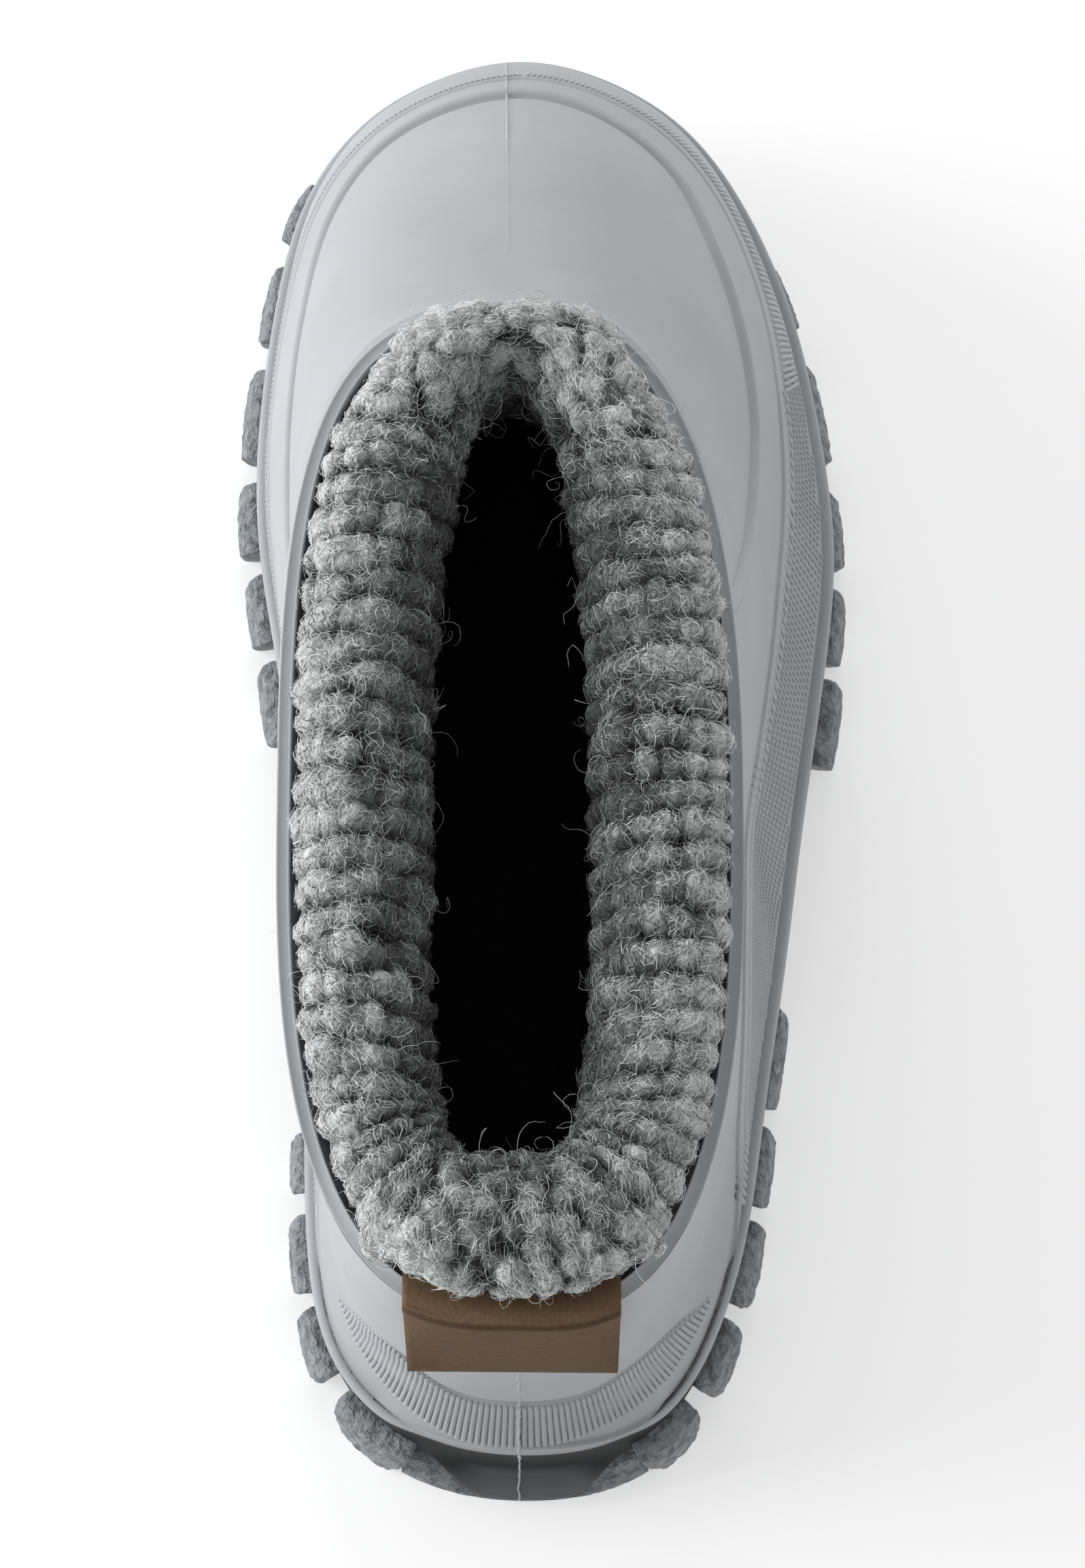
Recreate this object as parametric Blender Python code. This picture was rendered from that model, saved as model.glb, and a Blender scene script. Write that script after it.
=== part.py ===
"""A child's ankle-high lined rubber boot, the right one of a pair, standing empty on its sole.

Toe along +Y, outer (lateral) side along +X, floor at Z = 0. Sizes are in millimetres.
"""
from collections import namedtuple
import math

import bpy
import bmesh
import numpy as np

MM = 0.001
GAP = 0.3

# Sole edge: the rounded rim of the foxing, seen from above, with the height of its ledge
Section = namedtuple("Section", "station medial lateral ledge")
SOLE_SECTIONS = [
    Section(-93.4, -12.5, 8.9, 21.0),
    Section(-88.0, -21.8, 17.0, 21.0),
    Section(-79.0, -27.6, 22.4, 20.8),
    Section(-66.0, -29.9, 26.4, 20.4),
    Section(-50.0, -30.4, 28.9, 19.8),
    Section(-30.0, -30.6, 31.9, 19.2),
    Section(-10.0, -31.9, 34.6, 18.5),
    Section(10.0, -34.6, 37.6, 18.0),
    Section(28.0, -37.5, 39.3, 17.7),
    Section(44.0, -38.0, 37.9, 17.8),
    Section(62.0, -36.1, 34.2, 18.6),
    Section(77.0, -32.4, 28.0, 20.2),
    Section(87.0, -26.0, 20.9, 21.7),
    Section(93.5, -17.2, 11.9, 22.8),
]
HEEL_END = (-2.0, -95.0, 21.0)
TOE_END = (-2.5, 97.5, 23.3)
AXIS_X = -2.2

# Collar oval
COLLAR_MIDDLE_Y = -29.9
COLLAR_HALF_LENGTH = 61.9
COLLAR_MEDIAL = 27.9
COLLAR_LATERAL = 25.3
COLLAR_ROUND_REAR = 2.7
COLLAR_ROUND_FRONT_MEDIAL = 2.7
COLLAR_ROUND_FRONT_LATERAL = 2.5
COLLAR_Z_REAR = 92.0
COLLAR_Z_SIDE = 87.5
COLLAR_Z_FRONT = 88.0

# Wall of the upper from the ledge (v = 0) to the collar (v = 1): how far each level has moved
# in toward the collar and up, at the toe, at the sides, at the lateral waist and at the heel,
# and how deep the heel is hollowed there
Level = namedtuple("Level", "v toe_in toe_up side_in waist_in side_up heel_up heel_hollow")
WALL_LEVELS = [
    Level(0.00, 0.000, 0.000, 0.00, 0.00, 0.00, 0.00, 0.0),
    Level(0.15, 0.030, 0.085, 0.06, 0.34, 0.13, 0.14, 3.3),
    Level(0.30, 0.105, 0.175, 0.16, 0.62, 0.28, 0.29, 3.3),
    Level(0.45, 0.195, 0.270, 0.33, 0.81, 0.45, 0.46, 2.6),
    Level(0.60, 0.400, 0.480, 0.56, 0.91, 0.63, 0.64, 1.6),
    Level(0.80, 0.700, 0.740, 0.82, 0.97, 0.82, 0.83, 0.7),
    Level(1.00, 1.000, 1.000, 1.00, 1.00, 1.00, 1.00, 0.0),
]
WAIST_FRONT = 0.43
WAIST_FADE = 0.15
TOE_SPREAD = 0.26
HEEL_SPREAD = 0.17
LEDGE_SIDE = 1.9
LEDGE_HEEL = 1.0
WALL = 2.2

# Raised band above the ledge and the bead round the vamp, by place round the boot
# (0 heel, 0.5 toe): heights above the ledge, in millimetres, and the bead's level v
Band = namedtuple("Band", "place height")
BAND_HEIGHTS = [
    Band(0.000, 10.0),
    Band(0.040, 7.5),
    Band(0.072, 1.6),
    Band(0.105, 1.6),
    Band(0.170, 20.0),
    Band(0.225, 27.5),
    Band(0.280, 25.0),
    Band(0.320, 17.5),
    Band(0.360, 14.0),
    Band(0.420, 10.5),
    Band(0.500, 8.0),
]
BAND_STEP = 0.7
Bead = namedtuple("Bead", "place level")
BEAD_LATERAL = [
    Bead(0.000, 0.84),
    Bead(0.250, 0.86),
    Bead(0.310, 0.93),
    Bead(0.325, 0.95),
    Bead(0.334, 0.80),
    Bead(0.344, 0.67),
    Bead(0.355, 0.56),
    Bead(0.375, 0.51),
    Bead(0.410, 0.49),
    Bead(0.450, 0.445),
    Bead(0.475, 0.395),
    Bead(0.500, 0.37),
]
BEAD_MEDIAL = [
    Bead(0.000, 0.84),
    Bead(0.250, 0.86),
    Bead(0.330, 0.93),
    Bead(0.345, 0.95),
    Bead(0.352, 0.80),
    Bead(0.358, 0.67),
    Bead(0.371, 0.555),
    Bead(0.390, 0.48),
    Bead(0.420, 0.44),
    Bead(0.450, 0.42),
    Bead(0.480, 0.38),
    Bead(0.500, 0.37),
]
BEAD_END_LATERAL = 0.325
BEAD_END_MEDIAL = 0.345
BEAD_RISE = 0.9
BEAD_HALF = 1.3
BEAD_GROOVE = 0.3
BEAD_FADE = 0.012
BAND_SLOPE = 0.8
LIP_LEVEL = 0.972
LIP_CREST = 0.984
LIP_RISE = 0.9

# Rows of the wall between those steps, as shares of the way up, and levels of its inner face
BAND_ROWS = (0.0, 0.5, 1.0)
RAND_ROWS = (0.0, 0.2, 0.45, 0.7, 0.9)
VAMP_ROWS = (0.15, 0.35, 0.6, 0.85)
INNER_ROWS = (0.94, 0.80, 0.62, 0.45, 0.28, 0.13, 0.0)

# Sole stack
PLATE_BOTTOM = 4.0
PLATE_TOP = 8.7
PLATE_INSET = 3.8
SKIRT_INSET = 3.2
APRON_BOTTOM = 1.6
SPRING_START = 50.0
SPRING_RISE = 7.0

# The foxing's rounded side: offset from the sole edge and depth under the ledge
Rim = namedtuple("Rim", "offset below")
FOXING_RIM = [
    Rim(-0.5, 4.4),
    Rim(0.0, 2.4),
    Rim(-0.15, 1.1),
    Rim(-0.8, GAP),
    Rim(-5.0, GAP),
]
FOXING_STEP = 0.6
FOXING_WALL = 0.9
FOXING_LOW = 5.0
APRON_HEIGHT = 4.0

# Smooth aprons of the foxing between the lugs: place of each end and the flare at the floor
Apron = namedtuple("Apron", "side rear front flare")
APRONS = [
    Apron("lateral", -31.5, -1.5, 0.3),
    Apron("medial", -48.0, 1.5, 0.3),
]
HEEL_APRON_PLACE = 0.0265
HEEL_APRON_FLARE = 3.1
APRON_SOFT = 0.010

# Lugs round the edge of the outsole: stations of their ends and reach past the sole edge
Lug = namedtuple("Lug", "side rear front reach")
EDGE_LUGS = [
    Lug("medial", -92.0, -84.4, 2.6),
    Lug("medial", -82.3, -73.2, 2.6),
    Lug("medial", -71.4, -61.0, 2.6),
    Lug("medial", -58.3, -50.0, 2.3),
    Lug("medial", 3.5, 14.8, 2.9),
    Lug("medial", 17.4, 27.1, 2.7),
    Lug("medial", 30.1, 40.4, 2.9),
    Lug("medial", 43.9, 56.7, 2.9),
    Lug("medial", 60.8, 71.3, 2.7),
    Lug("medial", 76.2, 83.5, 3.2),
    Lug("lateral", -92.0, -85.6, 2.8),
    Lug("lateral", -84.0, -74.8, 2.7),
    Lug("lateral", -73.0, -61.8, 2.4),
    Lug("lateral", -60.0, -49.4, 2.1),
    Lug("lateral", -47.0, -33.3, 1.6),
    Lug("lateral", 0.2, 12.3, 2.9),
    Lug("lateral", 14.8, 25.0, 2.1),
    Lug("lateral", 28.4, 38.9, 2.0),
    Lug("lateral", 43.5, 57.5, 2.1),
    Lug("lateral", 62.7, 71.3, 1.2),
    Lug("lateral", 76.2, 83.5, 1.2),
]
LUG_TOP = 11.2
LUG_DEPTH = 13.0

# Blocks in the middle of the tread
Block = namedtuple("Block", "first last count offset turn")
TREAD_BLOCKS = [
    Block(-78.0, -52.0, 3, 6.0, 18.0),
    Block(8.0, 68.0, 6, 8.0, 18.0),
]
BLOCK_WIDTH = 10.0
BLOCK_LENGTH = 7.0

# Knitted lining: its hole at the top and its thickness in the foot
HOLE_MIDDLE_Y = -26.5
HOLE_HALF_LENGTH = 47.0
HOLE_HALF_WIDTH = 10.5
HOLE_AXIS_X = -2.8
HOLE_ROUND = 2.4
LINING = 4.0
LINING_GAP = 0.4
CUFF_START = 2.6
CUFF_AT_LABEL = 3.2
Roll = namedtuple("Roll", "toward_hole rise")
CUFF_ROLL = [
    Roll(0.00, -2.5),
    Roll(0.00, 0.4),
    Roll(-0.06, 1.8),
    Roll(0.04, 4.0),
    Roll(0.26, 5.6),
    Roll(0.54, 5.6),
    Roll(0.80, 3.4),
    Roll(0.97, -0.8),
    Roll(1.00, -5.0),
    Roll(0.92, -10.0),
    Roll(0.72, -15.0),
]
INSOLE = 4.0
INSOLE_GAP = 0.5

# Folded tab at the back of the collar
LABEL_HALF = 12.4
LABEL_MIDDLE_X = -3.2
LABEL_THICK = 1.4
LABEL_FOOT_Z = 65.5
LABEL_INSIDE_Z = 88.5

UPPER_COLUMNS = 84
SOLE_COLUMNS = 72
LINER_COLUMNS = 54


def ease(t):
    t = np.clip(t, 0.0, 1.0)
    return t * t * (3.0 - 2.0 * t)


def smooth(xs, ys, x):
    """Smooth curve through a short table."""
    xs = np.asarray(xs, float)
    ys = np.asarray(ys, float)
    x = np.clip(x, xs[0], xs[-1])
    step = np.diff(xs)
    slope = np.diff(ys) / step
    lean = np.empty_like(ys)
    lean[0] = slope[0]
    lean[-1] = slope[-1]
    lean[1:-1] = (slope[:-1] * step[1:] + slope[1:] * step[:-1]) / (step[1:] + step[:-1])
    i = np.clip(np.searchsorted(xs, x, side="right") - 1, 0, len(xs) - 2)
    t = (x - xs[i]) / step[i]
    return ((1 + 2 * t) * (1 - t) ** 2 * ys[i] + t * (1 - t) ** 2 * step[i] * lean[i]
            + t * t * (3 - 2 * t) * ys[i + 1] + t * t * (t - 1) * step[i] * lean[i + 1])


def closed_curve(points, per=40):
    """Closed cubic spline through the points, with per samples to each span."""
    p = np.asarray(points, float)
    n = len(p)
    after = np.roll(p, -1, 0)
    h = np.sqrt(np.linalg.norm((after - p)[:, :2], axis=1))
    before = np.roll(h, 1)
    left = np.zeros((n, n))
    right = np.zeros_like(p)
    for i in range(n):
        j = (i + 1) % n
        left[i, i - 1] += h[i]
        left[i, i] += 2 * (h[i] + before[i])
        left[i, j] += before[i]
        right[i] = 3 * (h[i] * (p[i] - p[i - 1]) / before[i] + before[i] * (p[j] - p[i]) / h[i])
    lean = np.linalg.solve(left, right)
    t = np.linspace(0, 1, per, endpoint=False)[:, None]
    spans = []
    for i in range(n):
        j = (i + 1) % n
        spans.append((1 + 2 * t) * (1 - t) ** 2 * p[i] + t * (1 - t) ** 2 * h[i] * lean[i]
                     + t * t * (3 - 2 * t) * p[j] + t * t * (t - 1) * h[i] * lean[j])
    return np.vstack(spans)


def along(line):
    run = np.cumsum(np.linalg.norm(np.diff(line[:, :2], axis=0), axis=1))
    return np.concatenate([[0.0], run]) / run[-1]


class Loop:
    """A closed line round the boot: place 0 at the heel, 0.5 at the toe, lateral side first."""

    def __init__(self, lateral, medial):
        self.sides = (lateral, medial)
        self.runs = (along(lateral), along(medial))

    def at(self, u):
        u = np.asarray(u, float) % 1.0
        out = np.empty(u.shape + (3,))
        for k in range(3):
            lateral = np.interp(u * 2, self.runs[0], self.sides[0][:, k])
            medial = np.interp((1 - u) * 2, self.runs[1], self.sides[1][:, k])
            out[..., k] = np.where(u <= 0.5, lateral, medial)
        return out

    def normal(self, u, step=0.002):
        d = self.at(u + step) - self.at(u - step)
        n = np.stack([d[..., 1], -d[..., 0]], -1)
        return n / np.linalg.norm(n, axis=-1, keepdims=True)

    def place(self, side, station):
        k = 0 if side == "lateral" else 1
        share = np.interp(station, self.sides[k][:, 1], self.runs[k]) / 2
        return share if k == 0 else 1 - share


def sole_loop():
    lateral = [(s.lateral, s.station, s.ledge) for s in SOLE_SECTIONS]
    medial = [(s.medial, s.station, s.ledge) for s in reversed(SOLE_SECTIONS)]
    per = 40
    line = closed_curve([HEEL_END] + lateral + [TOE_END] + medial, per)
    toe = (len(lateral) + 1) * per
    return Loop(line[:toe + 1], np.vstack([line[toe:], line[:1]])[::-1])


def oval_half(middle_y, half_length, axis_x, width, rear, front, z_rear, z_side, z_front):
    angle = np.linspace(0, math.pi, 401)
    power = np.where(angle < math.pi / 2, 2 / rear, 2 / front)
    c = np.sign(np.cos(angle)) * np.abs(np.cos(angle)) ** power
    s = np.abs(np.sin(angle)) ** power
    end = np.where(angle < math.pi / 2, z_rear, z_front)
    z = z_side + (end - z_side) * np.cos(angle) ** 2
    return np.stack([axis_x + width * s, middle_y - half_length * c, z], -1)


def collar_loop():
    common = (COLLAR_MIDDLE_Y, COLLAR_HALF_LENGTH, AXIS_X)
    heights = (COLLAR_Z_REAR, COLLAR_Z_SIDE, COLLAR_Z_FRONT)
    rear = COLLAR_ROUND_REAR
    lateral = oval_half(*common, COLLAR_LATERAL, rear, COLLAR_ROUND_FRONT_LATERAL, *heights)
    medial = oval_half(*common, -COLLAR_MEDIAL, rear, COLLAR_ROUND_FRONT_MEDIAL, *heights)
    return Loop(lateral, medial)


def hole_loop():
    common = (HOLE_MIDDLE_Y, HOLE_HALF_LENGTH, HOLE_AXIS_X)
    heights = (COLLAR_Z_REAR, COLLAR_Z_SIDE, COLLAR_Z_FRONT)
    lateral = oval_half(*common, HOLE_HALF_WIDTH, HOLE_ROUND, HOLE_ROUND, *heights)
    medial = oval_half(*common, -HOLE_HALF_WIDTH, HOLE_ROUND, HOLE_ROUND, *heights)
    return Loop(lateral, medial)


SOLE = sole_loop()
COLLAR = collar_loop()
HOLE = hole_loop()


def near_heel(u):
    u = np.asarray(u) % 1.0
    return np.minimum(u, 1 - u)


def share_at(name, v):
    """One column of the wall's table, read at level v."""
    levels = [level.v for level in WALL_LEVELS]
    return smooth(levels, [getattr(level, name) for level in WALL_LEVELS], v)


def wall_point(u, v):
    """The upper's plain outer surface."""
    u, v = np.broadcast_arrays(np.asarray(u, float) % 1.0, np.asarray(v, float))
    toe = ease(1 - np.abs(u - 0.5) / TOE_SPREAD)
    heel = ease(1 - near_heel(u) / HEEL_SPREAD)
    side = np.clip(1 - toe - heel, 0, None)
    waist = np.where(u <= 0.5, ease((WAIST_FRONT - u) / WAIST_FADE), 0.0)
    side_in = (1 - waist) * share_at("side_in", v) + waist * share_at("waist_in", v)
    heel_up = share_at("heel_up", v)
    move_in = toe * share_at("toe_in", v) + side * side_in + heel * heel_up
    move_up = toe * share_at("toe_up", v) + side * share_at("side_up", v) + heel * heel_up
    hollow = heel * share_at("heel_hollow", v)
    edge = SOLE.at(u)
    out = SOLE.normal(u)
    rim = COLLAR.at(u)
    ledge = LEDGE_SIDE + (LEDGE_HEEL - LEDGE_SIDE) * heel
    foot = edge[..., :2] - out * ledge[..., None]
    plan = foot + move_in[..., None] * (rim[..., :2] - foot) - out * hollow[..., None]
    z = edge[..., 2] + move_up * (rim[..., 2] - edge[..., 2])
    return np.concatenate([plan, z[..., None]], -1)


def wall_normal(u, v):
    step = 0.004
    across = wall_point(u + step, v) - wall_point(u - step, v)
    low = np.clip(np.asarray(v) - step, 0, 1)
    high = np.clip(np.asarray(v) + step, 0, 1)
    up = wall_point(u, high) - wall_point(u, low)
    n = np.cross(across, up)
    return n / np.linalg.norm(n, axis=-1, keepdims=True)


def wall_off(u, v, rise):
    """A point of the wall moved out by rise; along the very foot it stays on the ledge."""
    u, v, rise = np.broadcast_arrays(u, np.asarray(v, float), np.asarray(rise, float))
    moved = wall_point(u, v) + wall_normal(u, v) * rise[..., None]
    foot = v <= 0.0
    moved[foot, 2] = wall_point(u, v)[foot, 2]
    return moved


def wall_in(u, v, depth):
    """A point moved level into the boot, so far that it lies depth behind the wall."""
    n = wall_normal(u, np.broadcast_to(v, u.shape))
    flat = np.linalg.norm(n[..., :2], axis=-1)
    moved = wall_point(u, v)
    moved[..., :2] -= n[..., :2] / flat[..., None] * (depth / np.maximum(flat, 0.5))[..., None]
    return moved


def level_at_height(u, height):
    """The level v at which the wall is a given height above the ledge."""
    levels = np.linspace(0, 1, 201)
    found = np.empty_like(u)
    for i, place in enumerate(u):
        line = wall_point(np.full_like(levels, place), levels)[:, 2]
        found[i] = np.interp(line[0] + height[i], line, levels)
    return found


def bead_level(u):
    place = near_heel(u)
    lateral = smooth([b.place for b in BEAD_LATERAL], [b.level for b in BEAD_LATERAL], place)
    medial = smooth([b.place for b in BEAD_MEDIAL], [b.level for b in BEAD_MEDIAL], place)
    return np.where(u <= 0.5, lateral, medial)


def spring(y):
    return SPRING_RISE * np.clip((y - SPRING_START) / (TOE_END[1] - SPRING_START), 0, None) ** 2


def places(count):
    return np.arange(count) / count


# Meshes
def add_object(name, rows, closed, material, collection):
    """A body lofted through rows of points; closed joins last row to first, else it is capped."""
    count = len(rows[0])
    points = np.vstack(rows) * MM
    faces = []
    for r in range(len(rows) if closed else len(rows) - 1):
        a = r * count
        b = (r + 1) % len(rows) * count
        for i in range(count):
            j = (i + 1) % count
            faces.append((a + i, a + j, b + j, b + i))
    if not closed:
        top = (len(rows) - 1) * count
        for i in range(count // 2):
            quad = [i, (count - i) % count, (count - i - 1) % count, i + 1]
            low = list(dict.fromkeys(quad))
            if len(low) > 2:
                faces.append(tuple(low))
                faces.append(tuple(top + k for k in reversed(low)))
    mesh = bpy.data.meshes.new(name)
    mesh.from_pydata(points.tolist(), [], faces)
    mesh.update()
    mesh.shade_smooth()
    mesh.set_sharp_from_angle(angle=math.radians(40))
    body = bpy.data.objects.new(name, mesh)
    body.data.materials.append(material)
    collection.objects.link(body)
    return body


def make_material(name, colour, roughness):
    material = bpy.data.materials.new(name)
    material.use_nodes = True
    shader = material.node_tree.nodes["Principled BSDF"]
    shader.inputs["Base Color"].default_value = (*colour, 1.0)
    shader.inputs["Roughness"].default_value = roughness
    shader.inputs["Metallic"].default_value = 0.0
    return material


def upper_rows():
    u = places(UPPER_COLUMNS)
    place = near_heel(u)
    height = smooth([b.place for b in BAND_HEIGHTS], [b.height for b in BAND_HEIGHTS], place)
    band = level_at_height(u, height)
    band_out = level_at_height(u, height + BAND_SLOPE)
    bead = bead_level(u)
    span = np.linalg.norm(wall_point(u, bead + 0.02) - wall_point(u, bead - 0.02), axis=-1) / 0.04
    half = BEAD_HALF / span
    fade = ease((place - np.where(u <= 0.5, BEAD_END_LATERAL, BEAD_END_MEDIAL)) / BEAD_FADE)
    rows = []
    for share in BAND_ROWS:
        rows.append(wall_off(u, band * share, BAND_STEP))
    for share in RAND_ROWS:
        rows.append(wall_off(u, band_out + (bead - half - band_out) * share, 0.0))
    rows.append(wall_off(u, bead - half, 0.0))
    rows.append(wall_off(u, bead, BEAD_RISE * fade))
    rows.append(wall_off(u, bead + half, -BEAD_GROOVE * fade))
    for share in VAMP_ROWS:
        rows.append(wall_off(u, bead + half + (LIP_LEVEL - bead - half) * share, 0.0))
    rows.append(wall_off(u, LIP_LEVEL, 0.0))
    rows.append(wall_off(u, LIP_CREST, LIP_RISE))
    for rise in (LIP_RISE, -WALL):
        row = COLLAR.at(u)
        row[:, :2] += COLLAR.normal(u) * rise
        rows.append(row)
    for level in INNER_ROWS:
        rows.append(wall_off(u, level, -WALL))
    return rows


def apron_ends():
    """Place of each apron's two ends, with its flare; the heel's runs through place 0."""
    ends = []
    for a in APRONS:
        low, high = sorted((SOLE.place(a.side, a.rear), SOLE.place(a.side, a.front)))
        ends.append((low, high, a.flare))
    ends.append((-HEEL_APRON_PLACE, HEEL_APRON_PLACE, HEEL_APRON_FLARE))
    return ends


def apron_share(u):
    """How much of an apron there is at each place, and how far it flares at the floor."""
    share = np.zeros_like(u)
    flare = np.zeros_like(u)
    for low, high, spread in apron_ends():
        for turn in (u, u - 1):
            here = ease((turn - low) / APRON_SOFT) * ease((high - turn) / APRON_SOFT)
            share = np.maximum(share, here)
            flare = np.maximum(flare, here * spread)
    return share, flare


def sole_places():
    """Columns round the sole, the same on both sides, with one at every turn of an apron's edge."""
    half = np.linspace(0, 0.5, SOLE_COLUMNS // 2 + 1)
    keep = []
    for low, high, _ in apron_ends():
        for end, way in ((low, 1), (high, -1)):
            for step in (0.0, 0.25, 0.5, 0.75, 1.0):
                keep.append(float(near_heel(end + way * step * APRON_SOFT)))
    free = [h for h in half if min(abs(h - k) for k in keep) > 0.0035 or h in (0.0, 0.5)]
    line = np.array(sorted(set(free + keep)))
    line = line[np.concatenate([[True], np.diff(line) > 0.0008])]
    return np.concatenate([line, 1 - line[-2:0:-1]])


def edge_row(u, offset, z):
    """A row round the sole, offset from its edge (out is plus), at heights z."""
    edge = SOLE.at(u)
    row = edge.copy()
    row[:, :2] += SOLE.normal(u) * np.broadcast_to(offset, u.shape)[:, None]
    row[:, 2] = z
    return row


def midsole_rows():
    u = sole_places()
    edge = SOLE.at(u)
    ledge = edge[:, 2]
    lift = spring(edge[:, 1])
    share, flare = apron_share(u)
    inner = PLATE_TOP + GAP + lift
    skirt = inner - FOXING_STEP
    foot = skirt + (APRON_BOTTOM - skirt) * share
    wall_low = np.minimum(ledge - FOXING_LOW, foot + APRON_HEIGHT)
    rows = [
        edge_row(u, -SKIRT_INSET, inner),
        edge_row(u, -SKIRT_INSET, foot),
        edge_row(u, flare - FOXING_STEP, foot),
        edge_row(u, 0.5 * (flare - FOXING_WALL) - 0.35, 0.5 * (foot + wall_low)),
        edge_row(u, -FOXING_WALL, wall_low),
    ]
    for rim in FOXING_RIM:
        rows.append(edge_row(u, rim.offset, ledge - rim.below))
    return rows


def lug_rows(lug):
    """Sections of one lug and its tread bar, from end to end."""
    ends = sorted((SOLE.place(lug.side, lug.rear), SOLE.place(lug.side, lug.front)))
    run = ends[1] - ends[0]
    rows = []
    for share, full in ((0.0, 0.7), (0.12, 1.0), (0.5, 1.06), (0.88, 1.0), (1.0, 0.7)):
        u = np.array([ends[0] + run * share])
        edge = SOLE.at(u)[0]
        out = SOLE.normal(u)[0]
        lift = float(spring(edge[1]))
        reach = lug.reach * full
        depth = LUG_DEPTH - (1 - full) * 2
        profile = [
            (-depth, 0.0),
            (reach - 0.8, 0.0),
            (reach, 0.9),
            (reach - 0.1, 7.2),
            (max(reach - 1.0, 0.45), LUG_TOP - 0.9),
            (0.4, LUG_TOP),
            (0.4, PLATE_TOP - 2 * GAP),
            (-6.0, PLATE_TOP - 2 * GAP),
            (-6.0, PLATE_BOTTOM + 0.5),
            (-depth, PLATE_BOTTOM + 0.5),
        ]
        rows.append(np.array([(*(edge[:2] + out * o), z + lift) for o, z in profile]))
    return rows


def block_rows(x, y, turn):
    """One tread block: a turned box, a little smaller at the floor."""
    rows = []
    for z, grow in ((PLATE_BOTTOM + 0.5, 0.5), (0.0, -0.3)):
        corners = []
        for sx, sy in ((-1, -1), (1, -1), (1, 1), (-1, 1)):
            dx = sx * (BLOCK_WIDTH / 2 + grow)
            dy = sy * (BLOCK_LENGTH / 2 + grow)
            px = x + dx * math.cos(turn) - dy * math.sin(turn)
            py = y + dx * math.sin(turn) + dy * math.cos(turn)
            corners.append((px, py, z + float(spring(py))))
        rows.append(np.array(corners))
    return rows


def loft_strip(rows, points, faces):
    """Adds a body through open sections, with a cap on each end section."""
    start = len(points)
    count = len(rows[0])
    for row in rows:
        points.extend((row * MM).tolist())
    for r in range(len(rows) - 1):
        a = start + r * count
        b = a + count
        for i in range(count):
            j = (i + 1) % count
            faces.append((a + i, a + j, b + j, b + i))
    faces.append(tuple(start + i for i in reversed(range(count))))
    last = start + (len(rows) - 1) * count
    faces.append(tuple(last + i for i in range(count)))


def tread_object(name, collection):
    points = []
    faces = []
    for lug in EDGE_LUGS:
        loft_strip(lug_rows(lug), points, faces)
    for block in TREAD_BLOCKS:
        for k in range(block.count):
            y = block.first + (block.last - block.first) * k / (block.count - 1)
            for side in (-1, 1):
                turn = math.radians(block.turn) * -side
                loft_strip(block_rows(AXIS_X + side * block.offset, y, turn), points, faces)
    mesh = bpy.data.meshes.new(name)
    mesh.from_pydata(points, [], faces)
    mesh.update()
    body = bpy.data.objects.new(name, mesh)
    body.hide_render = True
    body.display_type = "WIRE"
    collection.objects.link(body)
    return body


def face_out(body):
    """Turns every face of a body outward."""
    mesh = body.data
    work = bmesh.new()
    work.from_mesh(mesh)
    bmesh.ops.recalc_face_normals(work, faces=work.faces)
    work.to_mesh(mesh)
    work.free()


def plate_rows():
    u = places(SOLE_COLUMNS)
    lift = spring(SOLE.at(u)[:, 1])
    return [
        edge_row(u, -PLATE_INSET, PLATE_BOTTOM + lift),
        edge_row(u, -PLATE_INSET, PLATE_TOP + lift),
    ]


def toward_hole(u, roll):
    """A row of the cuff, between the inside of the rim and the hole; it leaves room for the tab."""
    rim = COLLAR.at(u)
    start = CUFF_START + CUFF_AT_LABEL * ease((0.12 - near_heel(u)) / 0.06)
    row = rim.copy()
    row[:, :2] -= COLLAR.normal(u) * start[:, None]
    row += (HOLE.at(u) - row) * roll.toward_hole
    row[:, 2] = rim[:, 2] + roll.rise
    return row


def lining_inside(u):
    """Rows of the lining's inner face, from the shaft down to the foot."""
    depth = WALL + LINING_GAP + LINING
    return [wall_in(u, level, depth) for level in (0.66, 0.5, 0.35, 0.2, 0.08, 0.0)]


def liner_rows():
    u = places(LINER_COLUMNS)
    skin = WALL + LINING_GAP
    rows = []
    for level in (0.004, 0.15, 0.3, 0.5, 0.7, 0.88):
        rows.append(wall_off(u, level, -skin))
    rows[0][:, 2] = wall_point(u, 0.0)[:, 2]
    for roll in CUFF_ROLL:
        rows.append(toward_hole(u, roll))
    return rows + lining_inside(u)


def insole_rows():
    """The footbed follows the lining's inner face, a little inside it."""
    u = places(LINER_COLUMNS)
    inside = np.array(lining_inside(u)[::-1])
    out = SOLE.normal(u)
    rows = []
    for height in (0.0, INSOLE):
        row = inside[0].copy()
        row[:, 2] += height
        for i in range(len(u)):
            for k in (0, 1):
                row[i, k] = np.interp(row[i, 2], inside[:, i, 2], inside[:, i, k])
        row[:, :2] -= out * INSOLE_GAP
        rows.append(row)
    return rows


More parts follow.
